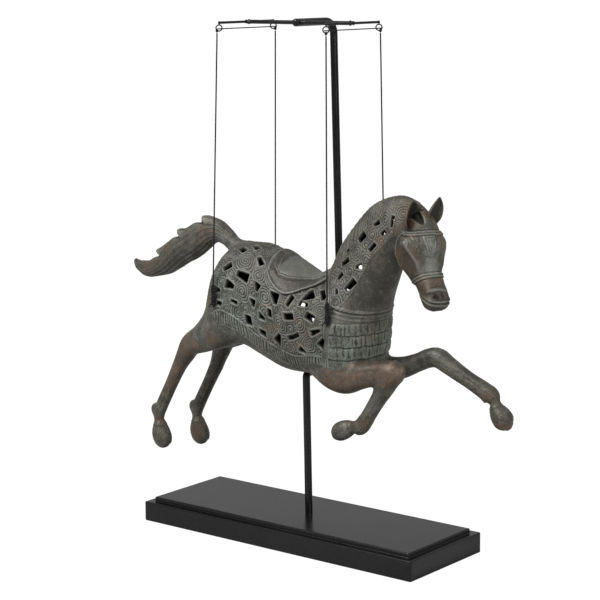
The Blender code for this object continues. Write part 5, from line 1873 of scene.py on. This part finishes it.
def make_saddle():
    rows, columns, under = 170, 240, 24
    x, edge, rise = (value[:, None] for value in through(SADDLE, rows).T)
    share = np.linspace(-1, 1, columns)[None]
    drop = share * edge
    x = x + 0 * share
    lift = saddle_lift(x, edge, rise, drop)
    from_cantle = x - (-35 + 0.0035 * drop**2)
    lift += 1.1 * bead(from_cantle - 2, 2.2) * eased(46, 34, np.abs(drop))
    seat = from_cantle - 11 - 0.004 * drop**2
    lift += 0.5 * bead(seat, 1.2) * eased(40, 30, np.abs(drop))
    lift += 0.8 * bead(x - 43, 2.2)
    flap = np.abs(drop) - np.interp(x, (-26, -14, -2, 8, 22, 36), (26, 33, 30, 23, 14, 10))
    lift += (0.9 * bead(flap, 1.5) - 0.6 * bell(flap - 2.6, 1.3)) * eased(-27, -20, x)
    lift += 0.9 * eased(-1, -4, flap) * eased(-24, -14, x)
    top = on_body(x, drop, lift)
    inner = np.linspace(1, -1, under)[None]
    below = on_body(x[:, :1] + 0 * inner, inner * edge, np.full((rows, under), SADDLE_UNDER))
    rings = np.concatenate((top, below[:, 1:-1]), axis=1)
    points, quads, ends = capped(rings)
    quads, ends = facing(points, quads, ends)
    relief = lift - SADDLE_EDGE - (rise - SADDLE_EDGE) * bell(drop, SADDLE_RIDGE)
    relief = np.concatenate((relief, 0 * below[:, 1:-1, 0]), 1)
    warm = spots(rings, ((-8, -42, 300, 16, 0.2), (-25, -35, 330, 10, 0.2)))
    numbers = {"relief": np.clip(relief, -0.7, 0.8), "rub": warm, "dark": 0.65 + 0 * warm}
    make_piece("saddle", points, quads, ends, patina, "horse", with_ends(numbers))
    print("saddle has", 2 * len(quads) + len(ends), "triangles")


make_saddle()

# %% [markdown]
# The stand is plain: a black board with a raised panel, a round rod that runs up, back under the
# belly and over the top, and bars across its end. What makes it look real is its edges and its
# satin paint. So the board is a profile of narrow steps swept round a rectangle with rounded
# corners, and every free end, bend and weld is rounded. The paint is almost black, and a faint
# orange peel and a few fine rubs break up what it reflects.

# %% Black paints
def black_paint(name, low, high, gloss, orange_peel):
    """A near black whose patches are a little lighter, with an uneven satin gloss."""
    made, tree, shader = new_material(name, Specular_IOR_Level=0.26)
    patches, specks = mottled(tree, 9.0, 260.0)
    colour = mixed(tree, patches, low, high)
    colour = mixed(tree, times(tree, specks, 0.25), colour, (0.016, 0.016, 0.017))
    tree.links.new(colour, shader.inputs["Base Color"])
    tree.links.new(between(tree, patches, *gloss), shader.inputs["Roughness"])
    grained(tree, shader, orange_peel, 0.3, 0.0001, 0.25)
    return made


BLACK = (0.002, 0.002, 0.002)
DARK_GREY = (0.004, 0.004, 0.004)
LIGHTER_GREY = (0.005, 0.005, 0.005)
board_paint = black_paint("board_satin_black", BLACK, DARK_GREY, (0.16, 0.25), 420.0)
steel_paint = black_paint("rod_black_enamel", BLACK, LIGHTER_GREY, (0.18, 0.3), 900.0)

# %% Board
BOARD_SIZE = np.array((400.0, 140.0))
BOARD_TOP = 29.4
# Board profile from the underside up: inset from the outline, height
BOARD_PROFILE = (
    (6, 0), (2, 0), (0.9, 0.1), (0.2, 0.5), (0, 1.2), (0, 3), (0, 12), (0, 21.6),
    (0, 23), (0.2, 23.6), (0.7, 23.95), (1.6, 24), (4.5, 24), (7.6, 24), (8.4, 24.05),
    (8.9, 24.3), (9, 25), (9, 27.4), (9.05, 28.4), (9.4, 29.1), (10, 29.36), (11.2, 29.4),
    (13, 29.4), (20, 29.4), (40, 29.4),
)
CORNER = 1.6


def rounded_outline(size, corner, inset, side_steps=40, corner_steps=7):
    """A rectangle's outline with round corners, moved inward, as points from one corner on."""
    half = np.asarray(size) / 2 - inset
    corner = max(corner - 0.06 * inset, 0.5)
    turn = np.linspace(0, math.pi / 2, corner_steps)
    signs = np.array(((1, 1), (-1, 1), (-1, -1), (1, -1)))
    parts = []
    for k in range(4):
        arc = turn + k * math.pi / 2
        circle = corner * np.column_stack((np.cos(arc), np.sin(arc)))
        here = (half - corner) * signs[k] + circle
        ahead = (half - corner) * signs[(k + 1) % 4] + circle[-1]
        run = np.linspace(0, 1, side_steps)[1:-1, None]
        parts += [here, here[-1] + (ahead - here[-1]) * run]
    return np.vstack(parts)


board_rings = []
for inset, height in BOARD_PROFILE:
    outline = rounded_outline(BOARD_SIZE, CORNER, inset)
    board_rings.append(np.column_stack((outline, np.full(len(outline), height))))
tube_piece("rebated_board", np.array(board_rings), board_paint, "plinth")
print("board points:", len(board_rings) * len(board_rings[0]))

# %% The rod's path
ROD_RADIUS = 4.5
ROD_FOOT_X = 2.0
ROD_UNDER_X = -0.5
ROD_BACK_X = 2.0  # the foot of its upper run, behind the horse
ROD_TOP_X = -7.6
ROD_BACK_Y = 65.0
ROD_UNDER_Z = 198.4
ROD_LOW_BEND = 5.0
ROD_HIGH_BEND = 15.0
ROD_TIP_Y = -9.0
FRAME_Z = 607.0


def bend(middle, start, end, radius, count=12):
    """A quarter turn: middle + radius (start cos a + end sin a) for a from 0 to 90 degrees."""
    a = np.linspace(0, math.pi / 2, count)[:, None]
    return np.array(middle) + radius * (np.array(start) * np.cos(a) + np.array(end) * np.sin(a))


def rod_path():
    low, high = ROD_LOW_BEND, ROD_HIGH_BEND
    return np.vstack((
        [(ROD_FOOT_X, 0.0, BOARD_TOP)],
        bend((ROD_UNDER_X, low, ROD_UNDER_Z - low), (0, -1, 0), (0, 0, 1), low),
        bend((ROD_BACK_X, ROD_BACK_Y - low, ROD_UNDER_Z + low), (0, 0, -1), (0, 1, 0), low),
        bend((ROD_TOP_X, ROD_BACK_Y - high, FRAME_Z - high), (0, 1, 0), (0, 0, 1), high),
        [(ROD_TOP_X, ROD_TIP_Y, FRAME_Z)],
    ))


print("rod length in mm:", round(length_of(rod_path()), 1))

# %% Rod and bars
LONG_BAR_RADIUS = 2.4
CROSSBAR_RADIUS = 1.5
REAR_X = -86.0
FRONT_X = 69.5
BAR_HALF = 50.0


def bar_rings(path, radius, round_by, steps, sides, reference, welds=(), round_foot=True):
    """Rings of a round bar: its ends rounded off as quarter circles, and lumps where it is welded.

    Each weld is its place along the bar, its height and its width. Its lump is a bell along the
    bar, made uneven round it by 1 + 0.25 sin 3 turn + 0.15 sin 5 turn."""
    step, ends = steps[0], np.array(steps[1:])
    path, gone = resampled(path, step)
    extra = np.sort(np.concatenate((gone, ends, gone[-1] - ends)))
    path = np.column_stack([np.interp(extra, gone, path[:, k]) for k in range(3)])
    inward = np.minimum(extra, gone[-1] - extra)
    thick = radius * np.sqrt(np.clip(1 - np.clip(1 - inward / round_by, 0, 1) ** 2, 0.02, 1))
    if not round_foot:
        thick[extra < gone[-1] / 2] = radius
    turn = np.arange(sides) * 2 * math.pi / sides
    lumps = sum((size * bell(extra - at, width) for at, size, width in welds), 0 * extra)
    uneven = 1 + 0.25 * np.sin(3 * turn) + 0.15 * np.sin(5 * turn + extra[:, None])
    lumps = (lumps * thick / radius)[:, None] * uneven
    return tube_rings(path, thick[:, None] + lumps, sides, reference)


rod_steps = (1.5, *(2.6 * np.array((0.02, 0.12, 0.3, 0.55, 0.8))))
rod = bar_rings(rod_path(), ROD_RADIUS, 2.6, rod_steps, 28, (1.0, 0.05, 0.02), round_foot=False)
tube_piece("bent_rod", rod, steel_paint, "post")


def bar_piece(name, start, end, radius, reference, welds, node):
    steps = (1.0, *(radius * np.array((0.02, 0.15, 0.4, 0.7))))
    rings = bar_rings(np.array((start, end)), radius, radius * 0.8, steps, 24, reference, welds)
    tube_piece(name, rings, steel_paint, node)


# The long bar runs between the crossbars, and is welded to them and on both sides of the rod
inner = CROSSBAR_RADIUS + GAP
last = FRONT_X - REAR_X - 2 * inner
rod_at = ROD_TOP_X - REAR_X - inner
welds = ((1.6, 0.7, 1.6), (rod_at - 5.2, 1.1, 2.2), (rod_at + 5.2, 1.1, 2.2), (last - 1.6, 0.7, 1.6))
bar_piece("long_top_bar", (REAR_X + inner, 0.0, FRAME_Z), (FRONT_X - inner, 0.0, FRAME_Z),
          LONG_BAR_RADIUS, (0.0, 1.0, 0.05), welds, "long_bar")
welds = ((BAR_HALF, 0.8, 2.4), (1.0, 0.35, 1.2), (2 * BAR_HALF - 1.0, 0.35, 1.2))
for end, x in (("rear", REAR_X), ("front", FRONT_X)):
    bar_piece(f"{end}_end_bar", (x, -BAR_HALF, FRAME_Z), (x, BAR_HALF, FRAME_Z),
              CROSSBAR_RADIUS, (1.0, 0.0, 0.05), welds, f"{end}_crossbar")

# %% Wire rings
RING_STEPS = 40
WIRE_SIDES = 14


def ring_tube(middle):
    """A torus whose face is turned RING_TURN from the horse's middle plane, thicker at its joint."""
    flat = np.array((math.cos(RING_TURN), math.sin(RING_TURN), 0.0))
    side = np.array((-flat[1], flat[0], 0.0))
    a = (np.arange(RING_STEPS) * 2 * math.pi / RING_STEPS)[:, None, None]
    b = (np.arange(WIRE_SIDES) * 2 * math.pi / WIRE_SIDES)[None, :, None]
    out = flat * np.cos(a) + np.array((0.0, 0.0, 1.0)) * np.sin(a)
    wire = RING_WIRE * (1 + 0.1 * bell(a - math.pi / 2, 0.2))
    return middle + out * (RING_RADIUS + wire * np.cos(b)) + side * wire * np.sin(b)


for end in ENDS:
    points = ring_tube(ring_middle(end)).reshape(-1, 3)
    quads = grid_faces(RING_STEPS + 1, WIRE_SIDES, ring=True) % len(points)
    quads, none = facing(points, quads, quads[:0, :3])
    make_piece(f"wire_ring_{end}", points, quads, none, steel_paint, f"ring_{end}")
print("rings made:", len(ENDS))
